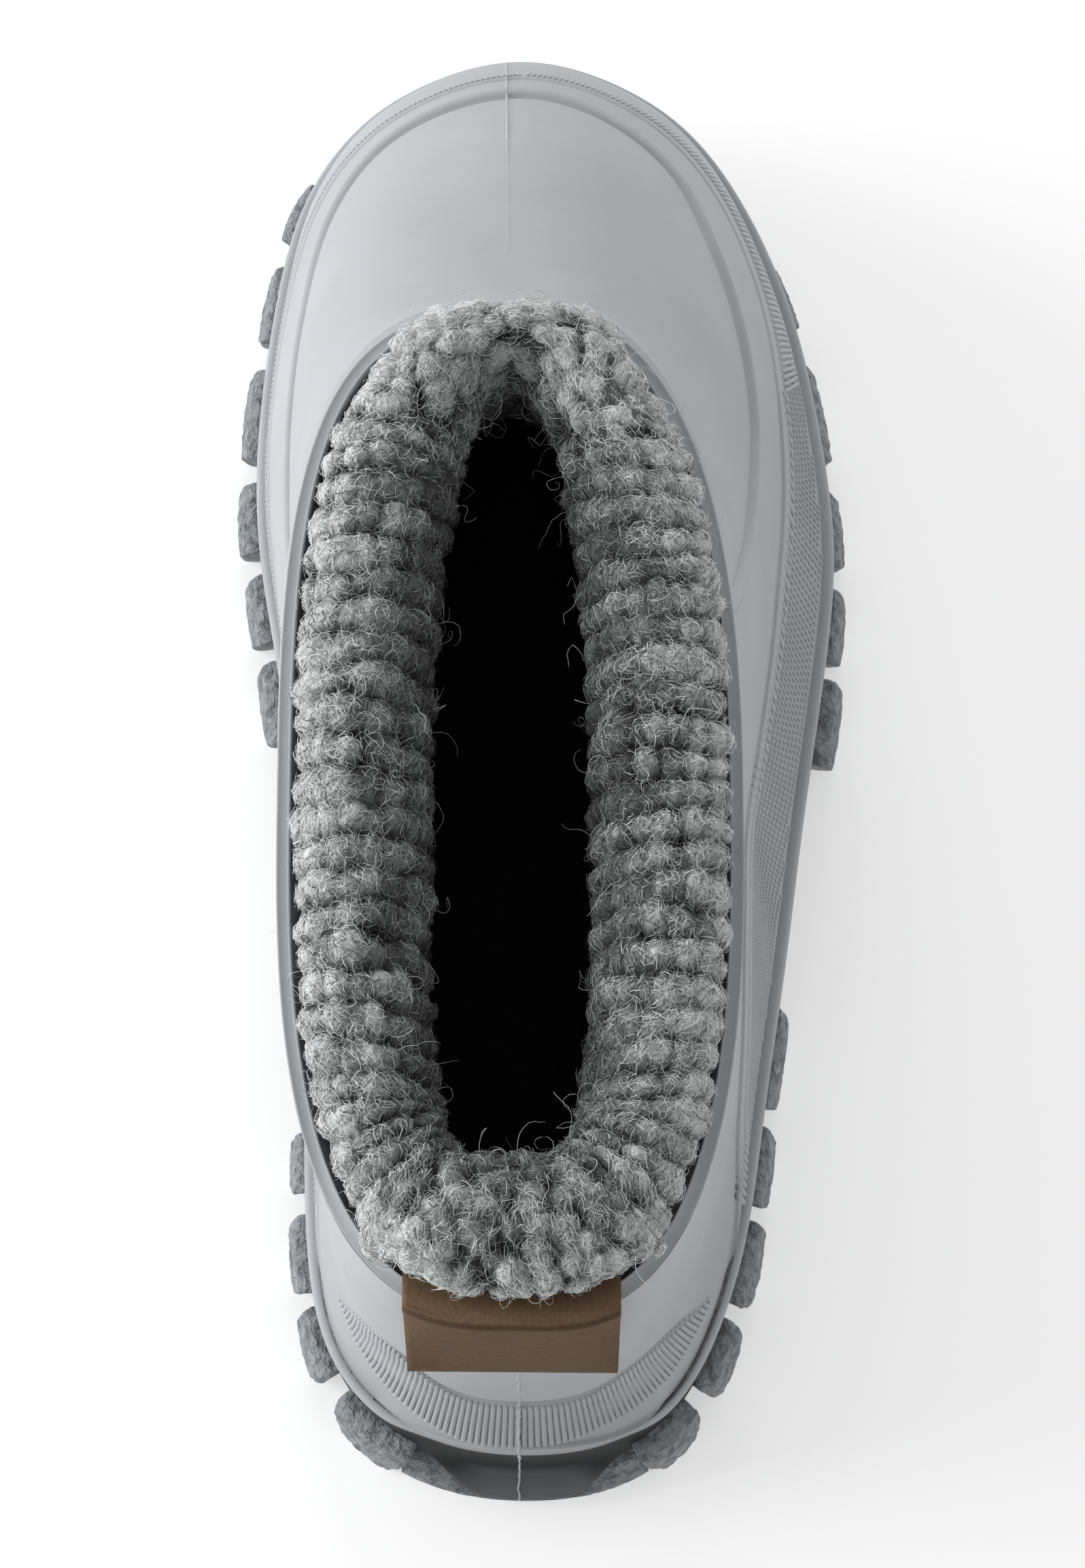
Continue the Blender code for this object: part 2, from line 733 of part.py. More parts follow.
def label_rows():
    """Sections across the tab; each runs up the back of the heel, over the rim and down inside."""
    rows = []
    rear = [side[:160] for side in COLLAR.sides]
    level = level_at_height(np.array([0.0]), np.array([LABEL_FOOT_Z - HEEL_END[2]]))
    foot_y = wall_off(np.array([0.0]), level, GAP)[0][1]
    thick = LABEL_THICK
    for share in np.linspace(-1, 1, 7):
        x = LABEL_MIDDLE_X + LABEL_HALF * share
        k = 0 if x > AXIS_X else 1
        rim_y = np.interp(abs(x - AXIS_X), np.abs(rear[k][:, 0] - AXIS_X), rear[k][:, 1])
        rim_z = np.interp(abs(x - AXIS_X), np.abs(rear[k][:, 0] - AXIS_X), rear[k][:, 2])
        top = rim_z + GAP
        lip = rim_y - LIP_RISE - GAP - 0.5 * abs(share)
        inner = rim_y + WALL + GAP + 0.5 * abs(share)
        hang = lip + (foot_y - lip) * 0.55
        profile = [
            (foot_y, LABEL_FOOT_Z),
            (hang, 0.5 * (LABEL_FOOT_Z + rim_z)),
            (lip, rim_z - 3.5),
            (lip, top),
            (inner, top),
            (inner, LABEL_INSIDE_Z),
            (inner + thick, LABEL_INSIDE_Z),
            (inner + thick, top + 0.6),
            (inner + 0.4, top + thick),
            (lip - 0.4, top + thick),
            (lip - thick, top + 0.2),
            (lip - thick, rim_z - 3.5),
            (hang - thick, 0.5 * (LABEL_FOOT_Z + rim_z)),
            (foot_y - thick, LABEL_FOOT_Z),
        ]
        rows.append(np.array([(x, y, z) for y, z in profile]))
    return rows


def main():
    for old in list(bpy.data.objects):
        bpy.data.objects.remove(old)
    boot = bpy.data.collections.new("lined_rubber_boot")
    cutters = bpy.data.collections.new("cutters")
    for group in (boot, cutters):
        bpy.context.scene.collection.children.link(group)

    pale_rubber = make_material("pale_rubber", (0.60, 0.63, 0.66), 0.42)
    foxing_rubber = make_material("foxing_rubber", (0.58, 0.61, 0.64), 0.45)
    dark_rubber = make_material("dark_rubber", (0.10, 0.11, 0.12), 0.75)
    knit = make_material("knit", (0.28, 0.28, 0.29), 0.95)
    board = make_material("board", (0.20, 0.20, 0.21), 0.90)
    tan = make_material("tan", (0.22, 0.15, 0.10), 0.70)

    for body in (
        add_object("upper", upper_rows(), True, pale_rubber, boot),
        add_object("midsole", midsole_rows(), False, foxing_rubber, boot),
        add_object("liner", liner_rows(), True, knit, boot),
        add_object("insole", insole_rows(), False, board, boot),
    ):
        face_out(body)

    outsole = add_object("outsole", plate_rows(), False, dark_rubber, boot)
    face_out(outsole)
    tread = tread_object("tread", cutters)
    face_out(tread)
    union = outsole.modifiers.new("tread", "BOOLEAN")
    union.operation = "UNION"
    union.object = tread
    union.use_self = True

    points = []
    faces = []
    loft_strip(label_rows(), points, faces)
    mesh = bpy.data.meshes.new("heel_label")
    mesh.from_pydata(points, [], faces)
    mesh.update()
    label = bpy.data.objects.new("heel_label", mesh)
    label.data.materials.append(tan)
    boot.objects.link(label)
    face_out(label)


main()
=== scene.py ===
"""Looks of a child's lined rubber boot: pale moulded rubber, dark lugs and a woolly rolled lining.

The main shape follows the part's functions and tables at a finer pitch. Sizes are in millimetres.
"""
from collections import namedtuple
import math

import bpy
import numpy as np
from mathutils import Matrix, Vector, noise


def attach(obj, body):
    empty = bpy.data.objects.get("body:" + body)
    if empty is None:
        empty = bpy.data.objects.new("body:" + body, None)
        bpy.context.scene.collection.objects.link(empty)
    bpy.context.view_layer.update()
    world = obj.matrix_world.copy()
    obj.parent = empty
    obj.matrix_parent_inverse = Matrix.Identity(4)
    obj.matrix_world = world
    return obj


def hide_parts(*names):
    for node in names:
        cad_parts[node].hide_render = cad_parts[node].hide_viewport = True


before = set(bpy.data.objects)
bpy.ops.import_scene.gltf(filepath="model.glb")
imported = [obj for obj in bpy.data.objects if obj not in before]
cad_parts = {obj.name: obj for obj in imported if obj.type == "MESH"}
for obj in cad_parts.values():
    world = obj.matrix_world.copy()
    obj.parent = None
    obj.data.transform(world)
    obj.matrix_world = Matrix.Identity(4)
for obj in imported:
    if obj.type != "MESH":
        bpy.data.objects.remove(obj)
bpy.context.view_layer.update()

MM = 0.001
GAP = 0.3

# Sole edge, as in the part
Section = namedtuple("Section", "station medial lateral ledge")
SOLE_SECTIONS = [
    Section(-93.4, -12.5, 8.9, 21.0),
    Section(-88.0, -21.8, 17.0, 21.0),
    Section(-79.0, -27.6, 22.4, 20.8),
    Section(-66.0, -29.9, 26.4, 20.4),
    Section(-50.0, -30.4, 28.9, 19.8),
    Section(-30.0, -30.6, 31.9, 19.2),
    Section(-10.0, -31.9, 34.6, 18.5),
    Section(10.0, -34.6, 37.6, 18.0),
    Section(28.0, -37.5, 39.3, 17.7),
    Section(44.0, -38.0, 37.9, 17.8),
    Section(62.0, -36.1, 34.2, 18.6),
    Section(77.0, -32.4, 28.0, 20.2),
    Section(87.0, -26.0, 20.9, 21.7),
    Section(93.5, -17.2, 11.9, 22.8),
]
HEEL_END = (-2.0, -95.0, 21.0)
TOE_END = (-2.5, 97.5, 23.3)
AXIS_X = -2.2

# Collar oval and the hole of the lining
COLLAR_MIDDLE_Y = -29.9
COLLAR_HALF_LENGTH = 61.9
COLLAR_MEDIAL = 27.9
COLLAR_LATERAL = 25.3
COLLAR_ROUND_REAR = 2.7
COLLAR_ROUND_FRONT_MEDIAL = 3.2
COLLAR_ROUND_FRONT_LATERAL = 2.5
RIM_HEIGHTS = (92.0, 87.5, 88.0)
HOLE_MIDDLE_Y = -24.3
HOLE_HALF_LENGTH = 49.2
HOLE_HALF_WIDTH = 10.0
HOLE_AXIS_X = -3.5
HOLE_ROUND_REAR = 4.5
HOLE_ROUND_FRONT = 2.0
RIB_SQUARE_REAR = -66.0
RIB_SQUARE_FRONT = 10.0

# Wall of the upper from the ledge (v = 0) to the collar (v = 1)
Level = namedtuple("Level", "v toe_in toe_up side_in waist_in side_up heel_up heel_hollow")
WALL_LEVELS = [
    Level(0.00, 0.000, 0.000, 0.00, 0.00, 0.00, 0.00, 0.0),
    Level(0.15, 0.030, 0.085, 0.06, 0.34, 0.13, 0.14, 3.3),
    Level(0.30, 0.105, 0.175, 0.16, 0.62, 0.28, 0.29, 3.3),
    Level(0.45, 0.195, 0.270, 0.33, 0.81, 0.45, 0.46, 2.6),
    Level(0.60, 0.400, 0.480, 0.56, 0.91, 0.63, 0.64, 1.6),
    Level(0.80, 0.700, 0.740, 0.82, 0.97, 0.82, 0.83, 0.7),
    Level(1.00, 1.000, 1.000, 1.00, 1.00, 1.00, 1.00, 0.0),
]
WAIST_FRONT = 0.43
WAIST_FADE = 0.15
TOE_SPREAD = 0.26
HEEL_SPREAD = 0.17
LEDGE_SIDE = 1.9
LEDGE_HEEL = 1.0
WALL = 2.2

# Raised band, bead and lip of the wall
Band = namedtuple("Band", "place height")
BAND_HEIGHTS = [
    Band(0.000, 1.2),
    Band(0.105, 1.6),
    Band(0.165, 17.0),
    Band(0.225, 27.5),
    Band(0.262, 29.0),
    Band(0.280, 24.0),
    Band(0.300, 20.7),
    Band(0.320, 18.6),
    Band(0.340, 15.4),
    Band(0.360, 15.0),
    Band(0.400, 15.4),
    Band(0.440, 13.6),
    Band(0.480, 12.0),
    Band(0.500, 11.6),
]
BAND_STEP = 0.25
BORDER_STEP = 0.5
BORDER_LATERAL = 0.85
BORDER_TOE = 0.35
BORDER_MEDIAL = 0.45
BAND_SLOPE = 0.45
Bead = namedtuple("Bead", "place level")
BEAD_LATERAL = [
    Bead(0.000, 0.84),
    Bead(0.250, 0.86),
    Bead(0.328, 0.95),
    Bead(0.334, 0.855),
    Bead(0.339, 0.772),
    Bead(0.344, 0.695),
    Bead(0.350, 0.652),
    Bead(0.357, 0.613),
    Bead(0.365, 0.578),
    Bead(0.380, 0.558),
    Bead(0.400, 0.545),
    Bead(0.420, 0.525),
    Bead(0.440, 0.480),
    Bead(0.460, 0.450),
    Bead(0.480, 0.425),
    Bead(0.500, 0.410),
]
BEAD_MEDIAL = [
    Bead(0.000, 0.84),
    Bead(0.250, 0.86),
    Bead(0.328, 0.95),
    Bead(0.334, 0.87),
    Bead(0.340, 0.79),
    Bead(0.350, 0.71),
    Bead(0.360, 0.65),
    Bead(0.370, 0.61),
    Bead(0.380, 0.58),
    Bead(0.400, 0.54),
    Bead(0.420, 0.488),
    Bead(0.440, 0.450),
    Bead(0.460, 0.425),
    Bead(0.500, 0.410),
]
BEAD_TOP = 0.95
BEAD_END = 0.326
BEAD_FADE = 0.012
BEAD_RISE = 0.5
BEAD_HALF = 1.3
BEAD_GROOVE = 0.65
BEAD_HOLLOW = 0.65
BEAD_BELOW = 3.4
BEAD_ABOVE = 3.2
BEAD_ROLL_FRONT = 0.46
BEAD_ROLL_FADE = 0.05
BEAD_ROLL_RISE = 0.9
BEAD_ROLL_GROOVE = 0.6
BAND_ROWS = 12
BORDER_SHARES = (0.04, 0.10, 0.18, 0.4, 0.65, 0.85, 1.0)
BORDER_FRONT = 0.18
SLOPE_SHARES = (0.25, 0.5, 0.75, 1.0)
BEAD_ROWS = 28
PLAIN_ROWS = 14
LIP_SHARES = (0.3, 0.55, 0.8, 1.0)
INNER_LEVELS = (0.94, 0.80, 0.62, 0.45, 0.28, 0.13, 0.0)
LEVEL_APART = 0.004
LIP_LEVEL = 0.972
LIP_CREST = 0.984
LIP_RISE = 0.9
RIM_INNER = 0.8
RIM_TILT = 0.55
RIM_SECTION = [
    (0.90, 0.35),
    (0.86, 0.12),
    (0.74, 0.02),
    (0.55, 0.06),
    (-0.35, 0.12),
    (-0.48, -0.02),
    (-0.62, -0.10),
    (-0.74, -0.04),
    (-0.80, 0.20),
    (-0.80, 2.50),
]

# Sole stack
PLATE_BOTTOM = 4.0
PLATE_TOP = 8.7
PLATE_INSET = 3.8
SKIRT_INSET = 3.2
APRON_BOTTOM = 1.6
SPRING_START = 50.0
SPRING_RISE = 7.0
Rim = namedtuple("Rim", "offset below")
FOXING_RIM = [
    Rim(-0.5, 4.4),
    Rim(0.0, 2.4),
    Rim(-0.15, 1.1),
    Rim(-0.8, GAP),
    Rim(-5.0, GAP),
]
FOXING_STEP = 0.6
FOXING_PALE = 2.7
FOXING_PALE_HEEL = 1.5
HEEL_TUCK = 0.7
FOXING_WALL = 0.9
FOXING_LOW = 5.0
APRON_HEIGHT = 4.0
Apron = namedtuple("Apron", "side rear front flare")
APRONS = [
    Apron("lateral", -31.5, -1.5, 0.3),
    Apron("medial", -48.0, 1.5, 0.3),
]
HEEL_APRON_PLACE = 0.0300
HEEL_APRON_FLARE = 3.1
HEEL_APRON_SOFT = 0.0190
APRON_SOFT = 0.012
Lug = namedtuple("Lug", "side rear front reach")
EDGE_LUGS = [
    Lug("medial", -92.0, -84.4, 2.6),
    Lug("medial", -82.3, -73.2, 2.6),
    Lug("medial", -71.4, -61.0, 2.6),
    Lug("medial", -58.3, -50.0, 2.3),
    Lug("medial", 3.5, 14.8, 2.9),
    Lug("medial", 17.4, 27.1, 2.7),
    Lug("medial", 30.1, 40.4, 2.9),
    Lug("medial", 43.9, 56.7, 2.9),
    Lug("medial", 60.8, 71.3, 2.7),
    Lug("medial", 74.7, 82.2, 3.1),
    Lug("lateral", -92.0, -85.6, 2.8),
    Lug("lateral", -84.0, -74.8, 2.7),
    Lug("lateral", -73.0, -61.8, 2.4),
    Lug("lateral", -60.0, -49.4, 2.1),
    Lug("lateral", -47.0, -33.3, 1.6),
    Lug("lateral", 0.2, 12.3, 2.9),
    Lug("lateral", 14.8, 25.0, 2.1),
    Lug("lateral", 28.4, 38.9, 2.0),
    Lug("lateral", 43.5, 57.5, 2.1),
    Lug("lateral", 62.7, 71.6, 2.1),
    Lug("lateral", 76.2, 83.5, 1.0),
]
LUG_TOP = 11.2
LUG_DEPTH = 13.0
Block = namedtuple("Block", "first last count offset turn")
TREAD_BLOCKS = [
    Block(-78.0, -52.0, 3, 6.0, 18.0),
    Block(8.0, 68.0, 6, 8.0, 18.0),
]
BLOCK_WIDTH = 10.0
BLOCK_LENGTH = 7.0

# Lining and footbed
LINING = 4.0
LINING_GAP = 0.4
CUFF_START = 2.6
CUFF_AT_LABEL = 3.2
CUFF_OVER_MEDIAL = -0.1
CUFF_OVER_LATERAL = 0.6
CUFF_OVER_FRONT = 2.8
CUFF_OVER_BACK = 2.1
Roll = namedtuple("Roll", "toward_hole rise")
CUFF_ROLL = [
    Roll(0.00, -2.5),
    Roll(0.00, 0.4),
    Roll(-0.06, 1.8),
    Roll(0.04, 4.0),
    Roll(0.26, 5.6),
    Roll(0.54, 5.6),
    Roll(0.80, 3.4),
    Roll(0.97, -0.8),
    Roll(1.00, -5.0),
    Roll(0.92, -10.0),
    Roll(0.72, -15.0),
]
INSOLE = 4.0
INSOLE_GAP = 0.5

# Folded tab
LABEL_HALF = 12.4
LABEL_MIDDLE_X = -3.2
LABEL_FOOT_Z = 65.5
LABEL_INSIDE_Z = 88.5

# Fine pitch of the pieces made here
FINE_STEP = 0.0015
UPPER_COLUMNS = 680
SOLE_COLUMNS = 480
LINING_COLUMNS = 600
FOOTBED_COLUMNS = 120

# Moulded texture of the rand and the heel
RAND_REAR = 0.108
RAND_FRONT = 0.368
ROPE_FRONT = 0.364
RAND_SLANT = 0.004
RAND_TAPER = 0.09
PEBBLE_PITCH = 0.66
PEBBLE_PLAN = 0.5
PEBBLE_ROWS = 16
PEBBLE_RISE = 0.3
TOOTH_PITCH = 1.2
TOOTH_RISE = 0.5
TOOTH_PLAN = 0.65
STRAND_PITCH = 0.8
STRAND_RISE = 0.30
STRAND_RISE_TOE = 0.22
Strand = namedtuple("Strand", "place plan")
STRAND_PLANS = [
    Strand(0.00, 2.60),
    Strand(0.40, 2.60),
    Strand(0.42, 2.00),
    Strand(0.44, 1.50),
    Strand(0.46, 1.15),
    Strand(0.48, 0.95),
    Strand(0.50, 0.80),
    Strand(1.00, 0.80),
]
HEEL_RIB_PITCH = 0.9
HEEL_RIB_RISE = 0.38
HEEL_BEAD_PITCH = 0.6
HEEL_GROOVE = 0.45
TOE_LINE = 0.505
TOE_LINE_END = 0.86
HEEL_LINE = 0.9985
HEEL_LINE_END = 0.62
FLASH_RISE = 0.26
FLASH_SINK = 0.2
FLASH_HALF_TOE = 0.15
FLASH_HALF_HEEL = 0.22
FLASH_HALF_SOLE = 0.20
Crescent = namedtuple("Crescent", "place medial_low medial_top lateral_low lateral_top")
CRESCENT = [
    Crescent(0.0000, 0.4, 10.0, 0.4, 10.0),
    Crescent(0.0150, 0.6, 10.4, 1.7, 10.9),
    Crescent(0.0250, 1.5, 11.9, 2.8, 12.5),
    Crescent(0.0350, 2.9, 15.4, 3.2, 14.9),
    Crescent(0.0425, 3.9, 19.6, 3.4, 15.4),
    Crescent(0.0500, 4.9, 21.0, 3.1, 14.3),
    Crescent(0.0585, 5.9, 18.6, 3.0, 11.5),
    Crescent(0.0640, 6.3, 15.0, 2.8, 9.1),
    Crescent(0.0700, 6.8, 11.0, 2.4, 6.4),
    Crescent(0.0775, 6.6, 7.2, 2.2, 3.4),
]

# Knit: ribs round the collar, nubs along each rib, and the fibres on them
RIBS = 74
NUB_PITCH = 2.6
NUB_RADIUS = 2.25
NUB_RISE = 1.9
TUFT_SIZE = 2.9
FIBRE_GROUPS = 3
FIBRES = 10800
FIBRE_POINTS = 4
FIBRE_STEP = 0.92
FIBRE_RADIUS = 0.046
STRAYS = 560
STRAY_POINTS = 11
STRAY_STEP = 0.95
STRAY_RADIUS = 0.042

# Painted light and shade of the wool across the cuff, from the rim to the hole, and the mix of the fibres
Tone = namedtuple("Tone", "place tone")
CUFF_PAINTED_LIGHT = [
    Tone(0.00, 5.80),
    Tone(0.25, 4.10),
    Tone(0.50, 1.50),
    Tone(0.75, 0.62),
    Tone(1.00, 0.34),
]
FIBRE_TONES = (1.0, 0.62, 0.34, 0.06)
FIBRE_SHARES = (0.34, 0.30, 0.20, 0.16)

# Colours
PALE = (0.405, 0.425, 0.445)
DARK = (0.165, 0.178, 0.19)
# Lighter copy of the pale rubber for the rope strands: a painted highlight
ROPE_PAINTED_LIGHT = 1.06
# Lighter copy of the pale rubber for the heel ribs: painted light
RIB_PAINTED_LIGHT = 1.16
# Lighter copy of the pale rubber for the mould flash: a painted highlight
FLASH_PAINTED_HIGHLIGHT = 1.25
# Near-black foxing below the pale rim: partly the rubber's own dark, partly painted shade
FOXING_DARK_AND_PAINTED_SHADE = 0.07
# Lug colours: the first is painted shade in the pits, the second the skin
LUG_PIT_SHADE_AND_SKIN = (0.85, 1.85)
# Darkest wool colour, for dark fibres and for the painted shade in valleys and deep inside
WOOL_DARK = (0.003, 0.003, 0.003)
KNIT_LIGHT = (0.84, 0.86, 0.86)
FIBRE_LIGHT = (0.93, 0.95, 0.95)
# Near-black footbed: painted shade deep inside the boot
FELT_PAINTED_SHADE = (0.012, 0.011, 0.011)
TAN = (0.132, 0.083, 0.049)

# Studio, in metres and watts
Lamp = namedtuple("Lamp", "name place size power")
LAMPS = [
    Lamp("key", (-1.08, 0.10, 0.36), 0.9, 11.3),
    Lamp("front", (0.0, 1.10, 0.24), 0.8, 5.0),
    Lamp("fill", (1.05, 0.45, 0.12), 0.6, 1.5),
]
LAMP_AIM = (0.0, 0.0, 0.03)
SKY_STRENGTH = 0.40
FLOOR_SIZE = 8.0
FLOOR_Z = -0.0002
FLOOR_GLOW = 0.45

# Camera, matched to the photo
CAMERA_ELEVATION = 72.0
CAMERA_DISTANCE = 700.0
CAMERA_TARGET = (0.3, -7.2, 25.0)
CAMERA_FOCUS_PIXELS = 7924.0
PHOTO_HEIGHT = 2306.0


# Shape functions, as in the part
def ease(t):
    t = np.clip(t, 0.0, 1.0)
    return t * t * (3.0 - 2.0 * t)


def smooth(xs, ys, x):
    """Smooth curve through a short table."""
    xs = np.asarray(xs, float)
    ys = np.asarray(ys, float)
    x = np.clip(x, xs[0], xs[-1])
    step = np.diff(xs)
    slope = np.diff(ys) / step
    lean = np.empty_like(ys)
    lean[0] = slope[0]
    lean[-1] = slope[-1]
    lean[1:-1] = (slope[:-1] * step[1:] + slope[1:] * step[:-1]) / (step[1:] + step[:-1])
    i = np.clip(np.searchsorted(xs, x, side="right") - 1, 0, len(xs) - 2)
    t = (x - xs[i]) / step[i]
    return ((1 + 2 * t) * (1 - t) ** 2 * ys[i] + t * (1 - t) ** 2 * step[i] * lean[i]
            + t * t * (3 - 2 * t) * ys[i + 1] + t * t * (t - 1) * step[i] * lean[i + 1])


def read_table(table, place, column, x):
    """One named column of a table as a smooth curve, read at x."""
    return smooth([getattr(row, place) for row in table], [getattr(row, column) for row in table], x)


def unit(v):
    """The vectors v at length one."""
    return v / np.maximum(np.linalg.norm(v, axis=-1, keepdims=True), 1e-9)


def closed_curve(points, per=40):
    """Closed cubic spline through the points, with per samples to each span."""
    p = np.asarray(points, float)
    n = len(p)
    after = np.roll(p, -1, 0)
    h = np.sqrt(np.linalg.norm((after - p)[:, :2], axis=1))
    before = np.roll(h, 1)
    left = np.zeros((n, n))
    right = np.zeros_like(p)
    for i in range(n):
        j = (i + 1) % n
        left[i, i - 1] += h[i]
        left[i, i] += 2 * (h[i] + before[i])
        left[i, j] += before[i]
        right[i] = 3 * (h[i] * (p[i] - p[i - 1]) / before[i] + before[i] * (p[j] - p[i]) / h[i])
    lean = np.linalg.solve(left, right)
    t = np.linspace(0, 1, per, endpoint=False)[:, None]
    spans = []
    for i in range(n):
        j = (i + 1) % n
        spans.append((1 + 2 * t) * (1 - t) ** 2 * p[i] + t * (1 - t) ** 2 * h[i] * lean[i]
                     + t * t * (3 - 2 * t) * p[j] + t * t * (t - 1) * h[i] * lean[j])
    return np.vstack(spans)


def along(line):
    run = np.cumsum(np.linalg.norm(np.diff(line[:, :2], axis=0), axis=1))
    return np.concatenate([[0.0], run]) / run[-1]


class Loop:
    """A closed line round the boot: place 0 at the heel, 0.5 at the toe, lateral side first."""

    def __init__(self, lateral, medial):
        self.sides = (lateral, medial)
        self.runs = (along(lateral), along(medial))

    def at(self, u):
        u = np.asarray(u, float) % 1.0
        out = np.empty(u.shape + (3,))
        for k in range(3):
            lateral = np.interp(u * 2, self.runs[0], self.sides[0][:, k])
            medial = np.interp((1 - u) * 2, self.runs[1], self.sides[1][:, k])
            out[..., k] = np.where(u <= 0.5, lateral, medial)
        return out

    def normal(self, u, step=0.002):
        d = self.at(u + step) - self.at(u - step)
        return unit(np.stack([d[..., 1], -d[..., 0]], -1))

    def place(self, side, station):
        k = 0 if side == "lateral" else 1
        share = np.interp(station, self.sides[k][:, 1], self.runs[k]) / 2
        return share if k == 0 else 1 - share


def sole_loop():
    lateral = [(s.lateral, s.station, s.ledge) for s in SOLE_SECTIONS]
    medial = [(s.medial, s.station, s.ledge) for s in reversed(SOLE_SECTIONS)]
    per = 40
    line = closed_curve([HEEL_END] + lateral + [TOE_END] + medial, per)
    toe = (len(lateral) + 1) * per
    return Loop(line[:toe + 1], np.vstack([line[toe:], line[:1]])[::-1])


def oval_half(middle_y, half_length, axis_x, width, rear, front):
    z_rear, z_side, z_front = RIM_HEIGHTS
    angle = np.linspace(0, math.pi, 401)
    power = np.where(angle < math.pi / 2, 2 / rear, 2 / front)
    c = np.sign(np.cos(angle)) * np.abs(np.cos(angle)) ** power
    s = np.abs(np.sin(angle)) ** power
    end = np.where(angle < math.pi / 2, z_rear, z_front)
    z = z_side + (end - z_side) * np.cos(angle) ** 2
    return np.stack([axis_x + width * s, middle_y - half_length * c, z], -1)


def collar_loop():
    common = (COLLAR_MIDDLE_Y, COLLAR_HALF_LENGTH, AXIS_X)
    lateral = oval_half(*common, COLLAR_LATERAL, COLLAR_ROUND_REAR, COLLAR_ROUND_FRONT_LATERAL)
    medial = oval_half(*common, -COLLAR_MEDIAL, COLLAR_ROUND_REAR, COLLAR_ROUND_FRONT_MEDIAL)
    return Loop(lateral, medial)


def hole_loop():
    common = (HOLE_MIDDLE_Y, HOLE_HALF_LENGTH, HOLE_AXIS_X)
    lateral = oval_half(*common, HOLE_HALF_WIDTH, HOLE_ROUND_REAR, HOLE_ROUND_FRONT)
    medial = oval_half(*common, -HOLE_HALF_WIDTH, HOLE_ROUND_REAR, HOLE_ROUND_FRONT)
    return Loop(lateral, medial)


SOLE = sole_loop()
COLLAR = collar_loop()
HOLE = hole_loop()


def near_heel(u):
    u = np.asarray(u) % 1.0
    return np.minimum(u, 1 - u)


def share_at(name, v):
    """One column of the wall's table, read at level v."""
    return read_table(WALL_LEVELS, "v", name, v)


def wall_point(u, v):
    """The upper's plain outer surface."""
    u, v = np.broadcast_arrays(np.asarray(u, float) % 1.0, np.asarray(v, float))
    toe = ease(1 - np.abs(u - 0.5) / TOE_SPREAD)
    heel = ease(1 - near_heel(u) / HEEL_SPREAD)
    side = np.clip(1 - toe - heel, 0, None)
    waist = np.where(u <= 0.5, ease((WAIST_FRONT - u) / WAIST_FADE), 0.0)
    side_in = (1 - waist) * share_at("side_in", v) + waist * share_at("waist_in", v)
    heel_up = share_at("heel_up", v)
    move_in = toe * share_at("toe_in", v) + side * side_in + heel * heel_up
    move_up = toe * share_at("toe_up", v) + side * share_at("side_up", v) + heel * heel_up
    hollow = heel * share_at("heel_hollow", v)
    edge = SOLE.at(u)
    out = SOLE.normal(u)
    rim = COLLAR.at(u)
    ledge = LEDGE_SIDE + (LEDGE_HEEL - LEDGE_SIDE) * heel
    foot = edge[..., :2] - out * ledge[..., None]
    plan = foot + move_in[..., None] * (rim[..., :2] - foot) - out * hollow[..., None]
    z = edge[..., 2] + move_up * (rim[..., 2] - edge[..., 2])
    return np.concatenate([plan, z[..., None]], -1)


def wall_rate(u, v, step):
    """How the wall runs along the boot at a place, for a whole turn of u."""
    return (wall_point(u + step, v) - wall_point(u - step, v)) / (2 * step)


def wall_normal(u, v):
    step = 0.004
    across = wall_rate(u, v, step)
    low = np.clip(np.asarray(v) - step, 0, 1)
    high = np.clip(np.asarray(v) + step, 0, 1)
    up = wall_point(u, high) - wall_point(u, low)
    return unit(np.cross(across, up))


def wall_off(u, v, rise):
    """A point of the wall moved out by rise; along the very foot it stays on the ledge."""
    u, v, rise = np.broadcast_arrays(u, np.asarray(v, float), np.asarray(rise, float))
    moved = wall_point(u, v) + wall_normal(u, v) * rise[..., None]
    foot = v <= 0.0
    moved[foot, 2] = wall_point(u, v)[foot, 2]
    return moved


def wall_in(u, v, depth):
    """A point moved level into the boot, so far that it lies depth behind the wall."""
    n = wall_normal(u, np.broadcast_to(v, u.shape))
    flat = np.linalg.norm(n[..., :2], axis=-1)
    moved = wall_point(u, v)
    moved[..., :2] -= n[..., :2] / flat[..., None] * (depth / np.maximum(flat, 0.5))[..., None]
    return moved


def level_at_height(u, height):
    """The level v at which the wall is a given height above the ledge."""
    levels = np.linspace(0, 1, 161)
    heights = wall_point(u[:, None], levels[None, :])[..., 2]
    found = np.empty_like(u)
    for i, line in enumerate(heights):
        found[i] = np.interp(line[0] + height[i], line, levels)
    return found


def band_height(u):
    return read_table(BAND_HEIGHTS, "place", "height", near_heel(u))


def bead_level(u):
    place = near_heel(u)
    lateral = read_table(BEAD_LATERAL, "place", "level", place)
    medial = read_table(BEAD_MEDIAL, "place", "level", place)
    return np.minimum(np.where(u <= 0.5, lateral, medial), BEAD_TOP)


def spring(y):
    return SPRING_RISE * np.clip((y - SPRING_START) / (TOE_END[1] - SPRING_START), 0, None) ** 2


def places(count):
    return np.arange(count) / count


def edge_row(u, offset, z):
    """A row round the sole, offset from its edge (out is plus), at heights z."""
    row = SOLE.at(u)
    row[:, :2] += SOLE.normal(u) * np.broadcast_to(offset, u.shape)[:, None]
    row[:, 2] = z
    return row


